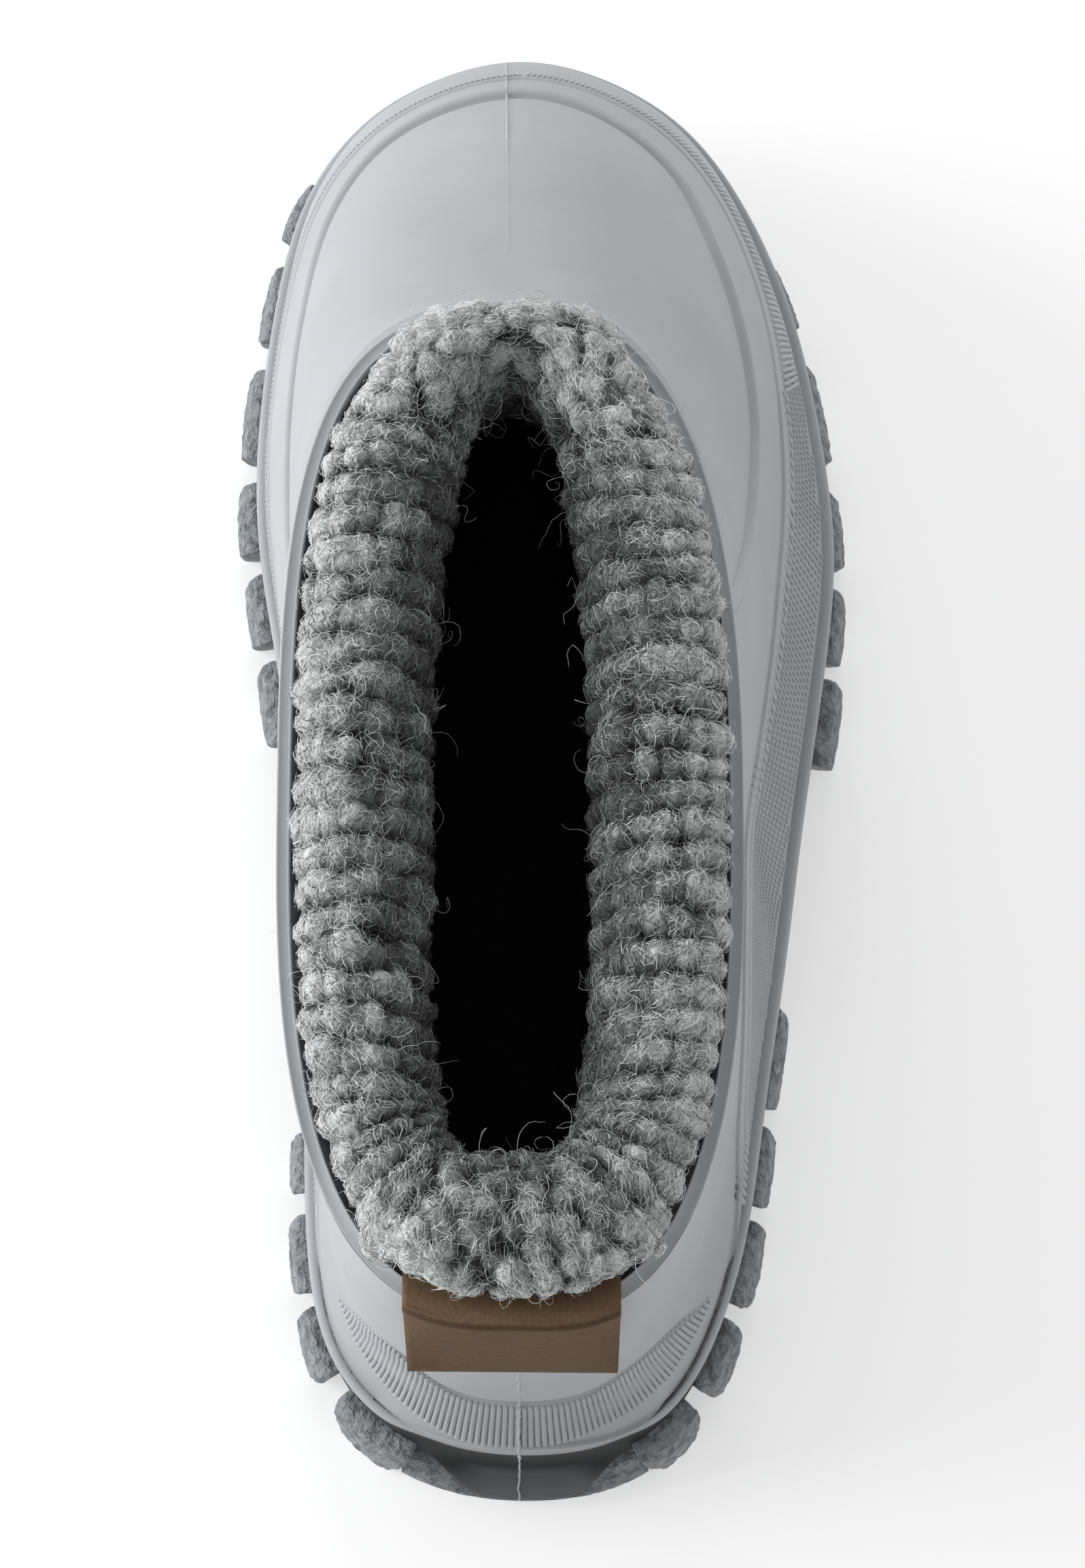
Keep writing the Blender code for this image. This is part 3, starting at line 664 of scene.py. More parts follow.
# Mesh helpers
class Build:
    """Points and faces gathered for one mesh, with optional values kept on each point."""

    def __init__(self):
        self.points = []
        self.quads = []
        self.triangles = []
        self.values = {}
        self.count = 0

    def add(self, points, quads=None, triangles=None, **values):
        points = np.asarray(points, float).reshape(-1, 3)
        self.points.append(points)
        if quads is not None and len(quads):
            self.quads.append(np.asarray(quads, int).reshape(-1, 4) + self.count)
        if triangles is not None and len(triangles):
            self.triangles.append(np.asarray(triangles, int).reshape(-1, 3) + self.count)
        for name, value in values.items():
            self.values.setdefault(name, []).append(np.asarray(value, float).reshape(len(points), -1))
        self.count += len(points)

    def piece(self, name, material):
        points = np.vstack(self.points) * MM
        loops = [q.ravel() for q in self.quads] + [t.ravel() for t in self.triangles]
        sizes = [np.full(len(q), 4) for q in self.quads] + [np.full(len(t), 3) for t in self.triangles]
        loops = np.concatenate(loops)
        sizes = np.concatenate(sizes)
        mesh = bpy.data.meshes.new(name)
        mesh.vertices.add(len(points))
        mesh.vertices.foreach_set("co", points.astype(np.float32).ravel())
        mesh.loops.add(len(loops))
        mesh.loops.foreach_set("vertex_index", loops.astype(np.int32))
        mesh.polygons.add(len(sizes))
        starts = np.concatenate([[0], np.cumsum(sizes)[:-1]])
        mesh.polygons.foreach_set("loop_start", starts.astype(np.int32))
        mesh.polygons.foreach_set("loop_total", sizes.astype(np.int32))
        for key, value in self.values.items():
            value = np.concatenate(value).astype(np.float32)
            if value.shape[1] == 1:
                mesh.attributes.new(key, "FLOAT", "POINT").data.foreach_set("value", value.ravel())
            else:
                mesh.attributes.new(key, "FLOAT_VECTOR", "POINT").data.foreach_set("vector", value.ravel())
        mesh.update(calc_edges=True)
        mesh.validate()
        mesh.shade_smooth()
        body = bpy.data.objects.new(name, mesh)
        mesh.materials.append(material)
        bpy.context.scene.collection.objects.link(body)
        return body


def grid_quads(rows, columns, wrap_rows=False, wrap_columns=True):
    r = np.arange(rows if wrap_rows else rows - 1)[:, None]
    c = np.arange(columns if wrap_columns else columns - 1)[None, :]
    r2 = (r + 1) % rows
    c2 = (c + 1) % columns
    quads = np.stack([r * columns + c, r * columns + c2, r2 * columns + c2, r2 * columns + c], -1)
    return quads.reshape(-1, 4)


def ladder_quads(count, start, flip):
    """Faces across a ring of points, from side to side."""
    i = np.arange(1, count // 2 - 1)
    quads = np.stack([i, count - i, count - i - 1, i + 1], -1) + start
    ends = np.array([[0, count - 1, 1], [count // 2 - 1, count // 2 + 1, count // 2]]) + start
    if flip:
        return quads[:, ::-1], ends[:, ::-1]
    return quads, ends


def capped(build, rows, **values):
    """Adds a body lofted through rings and closed at both ends."""
    rows = np.asarray(rows)
    count = rows.shape[1]
    low_quads, low_ends = ladder_quads(count, 0, False)
    top_quads, top_ends = ladder_quads(count, (len(rows) - 1) * count, True)
    quads = np.vstack([grid_quads(len(rows), count), low_quads, top_quads])
    build.add(rows, quads, np.vstack([low_ends, top_ends]), **values)


def grid_normals(points, wrap_rows=False):
    """Normals of a grid of points that closes round its columns."""
    across = np.roll(points, -1, 1) - np.roll(points, 1, 1)
    if wrap_rows:
        up = np.roll(points, -1, 0) - np.roll(points, 1, 0)
    else:
        up = np.gradient(points, axis=0)
    return unit(np.cross(across, up))


def roughness_at(points, scale, stretch=(1.0, 1.0, 1.0), octaves=3):
    """Fractal noise about zero at points, with features of the given size."""
    flat = np.asarray(points, float).reshape(-1, 3) / scale * np.asarray(stretch)
    values = [noise.fractal(Vector(p), 0.9, 2.1, octaves) for p in flat]
    return np.array(values).reshape(np.shape(points)[:-1])


def domes(build, centre, long, wide, out, rise, sides=6, sink=0.12):
    """Small domes: centre, half-axis vectors along and across, and the direction out."""
    turn = np.arange(sides) * 2 * math.pi / sides
    c = np.cos(turn)[None, :, None]
    s = np.sin(turn)[None, :, None]
    ring = long[:, None, :] * c + wide[:, None, :] * s
    base = centre[:, None, :] + ring - out[:, None, :] * sink
    shoulder = centre[:, None, :] + ring * 0.68 + out[:, None, :] * (rise * 0.68)
    top = centre[:, None, :] + out[:, None, :] * rise
    points = np.concatenate([base, shoulder, top], 1)
    per = 2 * sides + 1
    i = np.arange(sides)
    j = (i + 1) % sides
    quads = np.stack([i, j, j + sides, i + sides], -1)
    tops = np.stack([i + sides, j + sides, np.full(sides, 2 * sides)], -1)
    under = np.stack([np.zeros(sides - 2, int), i[2:], i[1:-1]], -1)
    start = (np.arange(len(centre)) * per)[:, None, None]
    build.add(points, quads[None] + start, np.vstack([tops, under])[None] + start)


def three_ways(paths, seed):
    """Three directions square to many paths, at each of their points."""
    rng = np.random.default_rng(seed)
    tangent = np.gradient(paths, axis=1)
    side = unit(np.cross(tangent, rng.normal(size=(len(paths), 1, 3))))
    other = unit(np.cross(tangent, side))
    turn = np.arange(3) * 2 * math.pi / 3
    return side[:, :, None, :] * np.cos(turn)[:, None] + other[:, :, None, :] * np.sin(turn)[:, None]


def tubes(build, paths, radius, tone, seed):
    """Three-sided tubes along many paths at once, with closed ends."""
    count, length = paths.shape[:2]
    per = 3 * length
    points = paths[:, :, None, :] + three_ways(paths, seed) * radius[:, :, None, None]
    caps = np.array([[2, 1, 0], [per - 3, per - 2, per - 1]])
    start = (np.arange(count) * per)[:, None, None]
    build.add(points, grid_quads(length, 3)[None] + start, caps[None] + start, tone=np.repeat(tone, per))


def spindles(build, paths, radius, tone, seed):
    """Fine pointed hairs along many short paths at once: a tip, three-sided rings and a tip."""
    count, length = paths.shape[:2]
    rings = (paths[:, :, None, :] + three_ways(paths, seed) * radius[:, None, None, None])[:, 1:-1]
    points = np.concatenate([rings.reshape(count, -1, 3), paths[:, :1], paths[:, -1:]], 1)
    per = points.shape[1]
    i = np.arange(3)
    j = (i + 1) % 3
    last = 3 * (length - 3)
    first_tip = np.stack([np.full(3, per - 2), j, i], -1)
    last_tip = np.stack([i + last, j + last, np.full(3, per - 1)], -1)
    tips = np.vstack([first_tip, last_tip])
    start = (np.arange(count) * per)[:, None, None]
    quads = grid_quads(length - 2, 3)
    build.add(points, quads[None] + start, tips[None] + start, tone=np.repeat(tone, per))


# Materials
def material_nodes(name):
    material = bpy.data.materials.new(name)
    material.use_nodes = True
    tree = material.node_tree
    return material, tree, tree.nodes["Principled BSDF"]


def set_inputs(node, **values):
    """Sets sockets by name; an underscore stands for a space in the name."""
    for name, value in values.items():
        node.inputs[name.replace("_", " ")].default_value = value


def add_node(tree, kind, source=None, socket=None, **values):
    """A shader node with its values set, and one of its sockets linked to a source."""
    node = tree.nodes.new("ShaderNode" + kind)
    set_inputs(node, **values)
    if source is not None:
        tree.links.new(source, node.inputs[socket])
    return node


def kept_value(tree, name):
    """The values that a mesh keeps on its points."""
    node = add_node(tree, "Attribute")
    node.attribute_name = name
    return node


def vector_math(tree, operation, source):
    node = add_node(tree, "VectorMath", source, 0)
    node.operation = operation
    return node


def noise_node(tree, scale, detail=4.0, rough=0.55):
    coords = add_node(tree, "TexCoord").outputs["Object"]
    return add_node(tree, "TexNoise", coords, "Vector", Scale=scale, Detail=detail, Roughness=rough)


def ramp(tree, source, *stops):
    """Colours by value; stops are (place, colour)."""
    node = add_node(tree, "ValToRGB", source, "Fac")
    line = node.color_ramp
    while len(line.elements) < len(stops):
        line.elements.new(0.5)
    for element, (place, colour) in zip(line.elements, stops):
        element.position = place
        element.color = (*colour, 1.0)
    return node.outputs["Color"]


def bump(tree, shader, source, distance, strength):
    node = add_node(tree, "Bump", source, "Height", Distance=distance, Strength=strength)
    tree.links.new(node.outputs["Normal"], shader.inputs["Normal"])


def shade(colour, factor):
    return tuple(c * factor for c in colour)


def rubber_grain(tree, shader):
    """The fine grain of smooth moulded rubber."""
    bump(tree, shader, noise_node(tree, 2600.0, 3.0).outputs["Fac"], 0.00005, 0.5)


def pale_rubber(name, colour):
    """Satin moulded rubber with faint clouding and a fine grain."""
    material, tree, shader = material_nodes(name)
    cloud = noise_node(tree, 45.0).outputs["Fac"]
    colours = ramp(tree, cloud, (0.30, shade(colour, 0.95)), (0.70, shade(colour, 1.04)))
    tree.links.new(colours, shader.inputs["Base Color"])
    gloss = noise_node(tree, 160.0).outputs["Fac"]
    spread = add_node(tree, "MapRange", gloss, "Value", To_Min=0.52, To_Max=0.66)
    tree.links.new(spread.outputs["Result"], shader.inputs["Roughness"])
    rubber_grain(tree, shader)
    set_inputs(shader, Specular_IOR_Level=0.35)
    return material


def sole_rubber(name, pale, dark):
    """Pale along the rim and dark below it, by the tone kept on each point; the near-black below the rim is
    partly the rubber's own dark and partly painted shade.
    """
    material, tree, shader = material_nodes(name)
    cloud = noise_node(tree, 70.0).outputs["Fac"]
    light = ramp(tree, cloud, (0.3, shade(pale, 0.95)), (0.7, shade(pale, 1.04)))
    deep = ramp(tree, cloud, (0.3, shade(dark, 0.9)), (0.7, shade(dark, 1.1)))
    mix = add_node(tree, "Mix", kept_value(tree, "tone").outputs["Fac"], "Factor")
    mix.data_type = "RGBA"
    first, second = [socket for socket in mix.inputs if socket.type == "RGBA"]
    tree.links.new(deep, first)
    tree.links.new(light, second)
    mixed = [socket for socket in mix.outputs if socket.type == "RGBA"][0]
    tree.links.new(mixed, shader.inputs["Base Color"])
    rubber_grain(tree, shader)
    set_inputs(shader, Roughness=0.66, Specular_IOR_Level=0.14)
    return material


def lug_rubber(name, dark, light):
    """Matt rubber with a wrinkled, bark-like skin, with painted shade in its pits."""
    material, tree, shader = material_nodes(name)
    wrinkle = noise_node(tree, 620.0, 4.0, 0.6)
    set_inputs(wrinkle, Distortion=0.4)
    wrinkle = wrinkle.outputs["Fac"]
    # Painted shade: the skin's pits are coloured dark
    tree.links.new(ramp(tree, wrinkle, (0.34, dark), (0.48, light)), shader.inputs["Base Color"])
    pits = add_node(tree, "MapRange", wrinkle, "Value", From_Min=0.35, From_Max=0.6)
    bump(tree, shader, pits.outputs["Result"], 0.0006, 1.0)
    set_inputs(shader, Roughness=0.72)
    return material


def wool_fibre(name, dark, light):
    """One colour to a fibre, by the tone kept on its points."""
    material, tree, shader = material_nodes(name)
    tone = kept_value(tree, "tone").outputs["Fac"]
    tree.links.new(ramp(tree, tone, (0.0, dark), (1.0, light)), shader.inputs["Base Color"])
    set_inputs(shader, Roughness=0.85, Sheen_Weight=0.1)
    return material


def wool_knit(name, dark, light):
    """Wool with fine strands that wrap each rib, drawn in the knit's own places."""
    material, tree, shader = material_nodes(name)
    place = kept_value(tree, "knit").outputs["Vector"]
    swirl = add_node(tree, "TexNoise", place, "Vector", Scale=0.55, Detail=2.0)
    bend = vector_math(tree, "MULTIPLY_ADD", swirl.outputs["Color"])
    bend.inputs[1].default_value = (2.6, 2.6, 0.0)
    tree.links.new(place, bend.inputs[2])
    stretch = vector_math(tree, "MULTIPLY", bend.outputs["Vector"])
    stretch.inputs[1].default_value = (1.1, 6.5, 1.0)
    strand = add_node(tree, "TexNoise", stretch.outputs["Vector"], "Vector", Scale=1.0, Detail=3.0,
                      Distortion=0.8).outputs["Fac"]
    contrast = add_node(tree, "MapRange", strand, "Value", From_Min=0.3, From_Max=0.7,
                        To_Min=0.2, To_Max=1.9)
    mixed = add_node(tree, "Math", kept_value(tree, "tone").outputs["Fac"], 0)
    mixed.operation = "MULTIPLY"
    tree.links.new(contrast.outputs["Result"], mixed.inputs[1])
    colours = ramp(tree, mixed.outputs["Value"], (0.0, dark), (1.0, light))
    tree.links.new(colours, shader.inputs["Base Color"])
    bump(tree, shader, strand, 0.0005, 0.8)
    set_inputs(shader, Roughness=0.9, Sheen_Weight=0.08)
    return material


def felt(name, colour):
    material, tree, shader = material_nodes(name)
    cloud = noise_node(tree, 900.0, 5.0, 0.7).outputs["Fac"]
    colours = ramp(tree, cloud, (0.3, shade(colour, 0.6)), (0.7, shade(colour, 1.4)))
    tree.links.new(colours, shader.inputs["Base Color"])
    bump(tree, shader, cloud, 0.0004, 0.8)
    set_inputs(shader, Roughness=0.95)
    return material


def tab_leather(name, colour):
    """Matt tan board with a fine fleck, darker and paler by the tone kept on its points: a painted highlight
    along the fold, painted shade below it and under the wool.
    """
    material, tree, shader = material_nodes(name)
    fleck = noise_node(tree, 1500.0, 5.0, 0.7).outputs["Fac"]
    colours = ramp(tree, fleck, (0.25, shade(colour, 0.78)), (0.75, shade(colour, 1.2)))
    scale = vector_math(tree, "SCALE", colours)
    tree.links.new(kept_value(tree, "tone").outputs["Fac"], scale.inputs["Scale"])
    tree.links.new(scale.outputs["Vector"], shader.inputs["Base Color"])
    bump(tree, shader, noise_node(tree, 2400.0, 4.0, 0.6).outputs["Fac"], 0.00015, 0.7)
    set_inputs(shader, Roughness=0.9, Specular_IOR_Level=0.12)
    return material


def put(piece, slot, *nodes):
    """Sets a finished piece on the boot and hides the nodes that it stands for; the slot is not used."""
    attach(piece, "root")
    if nodes:
        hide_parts(*nodes)
    return piece


# Upper
def plan_rate(u, height):
    """How far the wall leans in for each millimetre that it climbs, at a height above the ledge."""
    low = wall_point(u, level_at_height(u, np.maximum(height - 1.2, 0.0)))
    high = wall_point(u, level_at_height(u, height + 1.2))
    out = unit(wall_normal(u, level_at_height(u, height))[..., :2])
    lean = np.abs(((high - low)[..., :2] * out).sum(-1))
    return lean / np.maximum(high[..., 2] - low[..., 2], 0.1)


def border_tall(u):
    """Height of the smooth border, taller where the wall is steep, so that it looks even from above."""
    height = band_height(u)
    side = np.where(u <= 0.5, BORDER_LATERAL, BORDER_MEDIAL)
    plan = BORDER_TOE + (side - BORDER_TOE) * ease((np.abs(u - 0.5) - 0.02) / 0.06)
    tall = plan / np.clip(plan_rate(u, height), 0.25, 1.0)
    return np.minimum(tall, 0.5 * height)


def bead_half(u, bead):
    """Half width of the bead, in levels; more of them where it climbs the wall."""
    step = 0.002
    span = np.linalg.norm(wall_point(u, bead + 0.02) - wall_point(u, bead - 0.02), axis=-1) / 0.04
    run = np.linalg.norm(wall_rate(u, bead, step), axis=-1)
    climb = (bead_level(u + step) - bead_level(u - step)) / (2 * step) * span / run
    return BEAD_HALF / span * np.sqrt(1 + climb ** 2)


def border_rise(u):
    """How far the border stands out: past the pebbles at the lateral side, level with the band elsewhere."""
    lateral = np.where(u <= 0.5, 1.0, 0.0) * ease((ROPE_FRONT + 0.01 - u) / 0.02)
    return BAND_STEP + (BORDER_STEP - BAND_STEP) * lateral


def heel_rows(u, start, first):
    """Rows between the band and the bead; at the heel they close up on the groove above the crescent."""
    top = crescent_heights(u)[1]
    swell = ease((CRESCENT[-1].place - near_heel(u)) / 0.014)
    near = ease((0.092 - near_heel(u)) / 0.012)
    heights = [0.35 * top, 0.7 * top]
    heights += [top + step for step in (-0.4, 0.1, 0.4, 0.7, 1.0, 1.3, 1.8, 2.6)]
    wide = 7
    count = len(heights) + wide
    rows = []
    for k, height in enumerate(heights):
        even = (k + 1.0) / count
        place = (level_at_height(u, height) - start) / (first - start)
        share = even + (np.clip(place, 0.03 * even, 0.6 + 0.1 * even) - even) * near
        dip = HEEL_GROOVE * swell * np.exp(-((height - top - 0.8) / 0.5) ** 2)
        rows.append(wall_off(u, start + (first - start) * share, -dip))
    for k in range(1, wide + 1):
        rows.append(wall_off(u, start + (first - start) * (share + (1 - share) * k / wide), 0.0))
    return rows


def band_rows(u):
    """Rows of the band, its smooth border and the slope above it, and the level where they end."""
    height = band_height(u)
    stand = border_rise(u)
    strip = border_tall(u)
    rows = []
    for share in np.linspace(0, 1, BAND_ROWS):
        level = level_at_height(u, (height - strip) * share)
        rows.append(wall_off(u, level, BAND_STEP))
    for share in BORDER_SHARES:
        level = level_at_height(u, height - strip * (1 - share))
        rise = BAND_STEP + (stand - BAND_STEP) * ease(share / BORDER_FRONT)
        rows.append(wall_off(u, level, rise * (1 - 0.25 * ease((share - 0.65) / 0.35))))
    for share in SLOPE_SHARES:
        level = level_at_height(u, height + BAND_SLOPE * share)
        rows.append(wall_off(u, level, 0.75 * stand * (1 - ease(share)) - 0.1 * math.sin(math.pi * share)))
    return rows, level


def bead_rows(u, start):
    """Rows over the heel's groove and the vamp's bead, up to the lip; the lateral bead is a fuller roll."""
    bead = bead_level(u)
    half = bead_half(u, bead)
    fade = ease((near_heel(u) - BEAD_END) / BEAD_FADE)
    first = np.maximum(bead - BEAD_BELOW * half, start + LEVEL_APART)
    last = np.minimum(bead + BEAD_ABOVE * half, LIP_LEVEL - LEVEL_APART)
    roll = np.where(u <= 0.5, ease((BEAD_ROLL_FRONT - u) / BEAD_ROLL_FADE), 0.0)
    rows = heel_rows(u, start, first)
    for share in np.linspace(0.04, 1, BEAD_ROWS):
        level = first + (last - first) * share
        t = (level - bead) / half
        ridge = BEAD_RISE * (1 + BEAD_ROLL_RISE * roll) * np.exp(-np.abs((t + 0.1) / 1.05) ** 3)
        groove = BEAD_GROOVE * (1 - BEAD_ROLL_GROOVE * roll) * np.exp(-((t - 1.5) / 0.36) ** 2)
        hollow = BEAD_HOLLOW * roll * np.exp(-((t + 1.8) / 0.7) ** 2)
        rows.append(wall_off(u, level, (ridge - groove - hollow) * fade))
    for share in np.linspace(0.08, 1, PLAIN_ROWS):
        rows.append(wall_off(u, last + (LIP_LEVEL - last) * share, 0.0))
    return rows


def rim_rows(u):
    """Rows over the collar's lip and rim and down the wall's inner face."""
    rows = []
    for share in LIP_SHARES:
        rows.append(wall_off(u, LIP_LEVEL + (LIP_CREST - LIP_LEVEL) * share, LIP_RISE * float(ease(share))))
    tilt = RIM_TILT * ease((0.13 - near_heel(u)) / 0.06)
    for rise, drop in RIM_SECTION:
        row = COLLAR.at(u)
        row[:, :2] += COLLAR.normal(u) * rise
        row[:, 2] -= drop + tilt * max(rise + RIM_INNER, 0.0)
        rows.append(row)
    for level in INNER_LEVELS:
        rows.append(wall_off(u, level, -WALL))
    return rows


def make_upper(material):
    build = Build()
    u = places(UPPER_COLUMNS)
    rows, start = band_rows(u)
    rows = np.array(rows + bead_rows(u, start) + rim_rows(u))
    build.add(rows, grid_quads(len(rows), UPPER_COLUMNS, wrap_rows=True))
    return put(build.piece("upper_shell", material), "pale_rubber", "upper")


def wall_frames(u, height, rise):
    """Points on the raised band with their directions along, up and out."""
    level = level_at_height(u, height)
    centre = wall_off(u, level, rise)
    out = wall_normal(u, level)
    ahead = unit(wall_rate(u, level, FINE_STEP))
    return centre, ahead, np.cross(out, ahead), out


def edge_length():
    line = SOLE.at(np.linspace(0, 1, 1201))
    return np.linalg.norm(np.diff(line[:, :2], axis=0), axis=1).sum()


def wall_run(u, height):
    """Length of the wall along the boot for a whole turn of u, at the rate of this place."""
    return np.linalg.norm(wall_rate(u, level_at_height(u, height), FINE_STEP), axis=-1)


def cord(build, place, heights, half, rise):
    """One rounded cord along a line on the wall, so wide to each side and so high at each point."""
    centre, _, _, out = wall_frames(place, heights, 0.0)
    side = unit(np.cross(out, np.gradient(centre, axis=0)))
    half = np.broadcast_to(half, heights.shape)[:, None]
    ring = []
    for across, lift in ((-1.0, None), (-0.55, 0), (0.55, 1), (1.0, None)):
        high = np.full_like(heights, -0.1) if lift is None else rise[:, lift]
        ring.append(centre + side * half * across + out * high[:, None])
    capped(build, np.stack(ring, 1))


def down_wall(u, height, fall, forward):
    """Places and heights a little lower: fall along the slope, forward along the boot."""
    _, ahead, up, _ = wall_frames(u, height, 0.0)
    lower = np.maximum(height - fall * up[:, 2], 0.0)
    here = wall_point(u, level_at_height(u, height))
    drift = ((wall_point(u, level_at_height(u, lower)) - here) * ahead).sum(-1)
    return u + (forward - drift) / wall_run(u, height), lower


def make_pebbles(material):
    """Fine pebbles in slanting lines below the band's border, on both sides."""
    build = Build()
    columns = np.arange(RAND_REAR, RAND_FRONT + 0.012, PEBBLE_PITCH / edge_length())
    for side in (1, -1):
        u = columns if side > 0 else 1 - columns
        foot = border_foot(u)[0]
        height = foot
        for k in range(PEBBLE_ROWS):
            _, _, up, _ = wall_frames(u, height, 0.0)
            fall = PEBBLE_PLAN / np.clip(np.linalg.norm(up[:, :2], axis=1), 0.25, 1.0)
            u, height = down_wall(u, height, fall, -0.5 * side * PEBBLE_PITCH)
            place = near_heel(u)
            taper = 0.0 if side > 0 else foot * ease((place - RAND_FRONT + RAND_TAPER) / RAND_TAPER)
            keep = (height > 0.55 * fall + taper) & (place < RAND_FRONT - RAND_SLANT * (k + 1) / PEBBLE_ROWS)
            if not keep.any():
                break
            centre, ahead, up, out = wall_frames(u[keep], height[keep], BAND_STEP)
            tall = up * (0.55 * fall[keep])[:, None]
            domes(build, centre, ahead * PEBBLE_PITCH * 0.46, tall, out, PEBBLE_RISE)
    return put(build.piece("rand_pebbles", material), "pale_rubber")


def border_foot(u):
    """Height of the border's lower edge, and how far the wall leans there."""
    height = band_height(u) - border_tall(u)
    return height, np.clip(plan_rate(u, height), 0.15, 1.0)


def make_teeth(material):
    """The border's scalloped lower edge over the pebbles, and the slanting strands in front of them."""
    build = Build()
    u = np.arange(RAND_REAR, ROPE_FRONT, TOOTH_PITCH / edge_length())
    centre, ahead, up, out = wall_frames(u, border_foot(u)[0], BAND_STEP)
    lean = np.clip(np.linalg.norm(up[:, :2], axis=1), 0.25, 1.0)
    domes(build, centre, ahead * TOOTH_PITCH * 0.45, up * (TOOTH_PLAN / lean)[:, None], out, TOOTH_RISE, 8)
    u = np.arange(ROPE_FRONT, 1 - RAND_REAR, STRAND_PITCH / edge_length())
    foot, lean = border_foot(u)
    low = np.maximum(foot - read_table(STRAND_PLANS, "place", "plan", u) / lean, 0.7)
    tall = STRAND_RISE_TOE + (STRAND_RISE - STRAND_RISE_TOE) * ease((0.46 - u) / 0.06)
    slant = np.where(u <= 0.5, 1.0, -1.0) * (foot - low) * lean / wall_run(u, foot)
    share = np.linspace(0, 1, 9)
    round_off = np.sqrt(np.clip(1 - (2 * share - 1) ** 6, 0, 1))
    for k in range(len(u)):
        rise = BAND_STEP + tall[k] * round_off
        heights = low[k] + (foot[k] - low[k]) * share
        cord(build, u[k] + slant[k] * (share - 1), heights, 0.47 * STRAND_PITCH, np.stack([rise, rise], 1))
    return put(build.piece("rand_teeth", material), "pale_rubber")


def crescent_heights(u):
    """Lower and upper edge of the heel's ribbed crescent, as heights above the ledge."""
    place = near_heel(u)
    edges = []
    for edge in ("low", "top"):
        lateral = read_table(CRESCENT, "place", "lateral_" + edge, place)
        medial = read_table(CRESCENT, "place", "medial_" + edge, place)
        edges.append(np.where(np.asarray(u) % 1.0 <= 0.5, lateral, medial))
    return edges


def make_heel_ribs(material):
    """Upright cords with a fine twist on the crescent round the heel."""
    build = Build()
    step = HEEL_RIB_PITCH / edge_length()
    count = int(CRESCENT[-1].place / step)
    for k in range(-count, count + 1):
        low, top = (edge[0] for edge in crescent_heights(np.array([k * step])))
        heights = np.linspace(low, top, max(5, int((top - low) * 7)))
        place = np.full_like(heights, (k * step) % 1.0)
        ends = ease(np.minimum(heights - low, top - heights) / 0.4)
        turns = heights[:, None] / HEEL_BEAD_PITCH + np.array([-0.22, 0.22])
        rise = HEEL_RIB_RISE * ends[:, None] * (0.82 + 0.18 * np.cos(2 * math.pi * turns))
        cord(build, place, heights, 0.52 * step * wall_run(place, heights), rise)
    return put(build.piece("heel_ribs", material), "pale_rubber")


def make_parting_lines(material):
    """Fine flash where the mould closed, on the middle of the toe and down the heel."""
    build = Build()
    rng = np.random.default_rng(11)
    toe_v = np.linspace(0.0, TOE_LINE_END, 150)
    toe_u = np.full_like(toe_v, TOE_LINE)
    toe_out = wall_normal(toe_u, toe_v)
    toe = wall_point(toe_u, toe_v)
    here = toe_u[:1]
    bead = float(bead_level(here)[0])
    band = float(level_at_height(here, band_height(here) + BAND_SLOPE)[0])
    roll = BEAD_RISE * np.exp(-np.abs((toe_v - bead) / 0.014) ** 2.6)
    toe += toe_out * (roll + np.where(toe_v < band, BAND_STEP, 0.0))[:, None]
    heel_v = np.linspace(0.0, HEEL_LINE_END, 120)
    heel_u = np.full_like(heel_v, HEEL_LINE)
    heel_out = wall_normal(heel_u, heel_v)
    band = float(level_at_height(np.array([0.0]), np.array([CRESCENT[0].medial_top]))[0])
    heel = wall_point(heel_u, heel_v) + heel_out * np.where(heel_v < band, HEEL_RIB_RISE, 0.0)[:, None]
    edges = round_rows(foxing_rows(np.array([HEEL_LINE, TOE_LINE])))
    sole = edges[9:34, 0]
    rim = edges[22:34, 1]
    sole_out = np.cross([1.0, 0.0, 0.0], np.gradient(sole, axis=0))
    rim_out = np.cross([-1.0, 0.0, 0.0], np.gradient(rim, axis=0))
    toe_fade = 0.3 + 0.7 * ease((0.66 - toe_v) / 0.12)
    lines = (
        (toe, toe_out, FLASH_HALF_TOE, toe_fade),
        (rim, rim_out, FLASH_HALF_TOE, np.ones(len(rim))),
        (heel, heel_out, FLASH_HALF_HEEL, np.ones(len(heel))),
        (sole, sole_out, FLASH_HALF_SOLE, np.ones(len(sole))),
    )
    for line, out, wide, fade in lines:
        wobble = roughness_at(line, 1.4, octaves=2)
        half = wide * (0.75 + 0.5 * np.abs(wobble)) * (0.5 + 0.5 * fade)
        out = unit(out)
        side = unit(np.cross(out, np.gradient(line, axis=0)))
        shift = 0.10 * rng.normal(size=len(line)) * (wide > FLASH_HALF_TOE)
        middle = line + side * shift[:, None]
        crest = middle + out * (FLASH_RISE * (0.6 + 0.8 * np.abs(wobble)) * fade)[:, None]
        left = middle - side * half[:, None] - out * 0.05
        right = middle + side * half[:, None] - out * 0.05
        capped(build, np.stack([left, crest, right, middle - out * FLASH_SINK], 1))
    return put(build.piece("parting_lines", material), "pale_rubber")


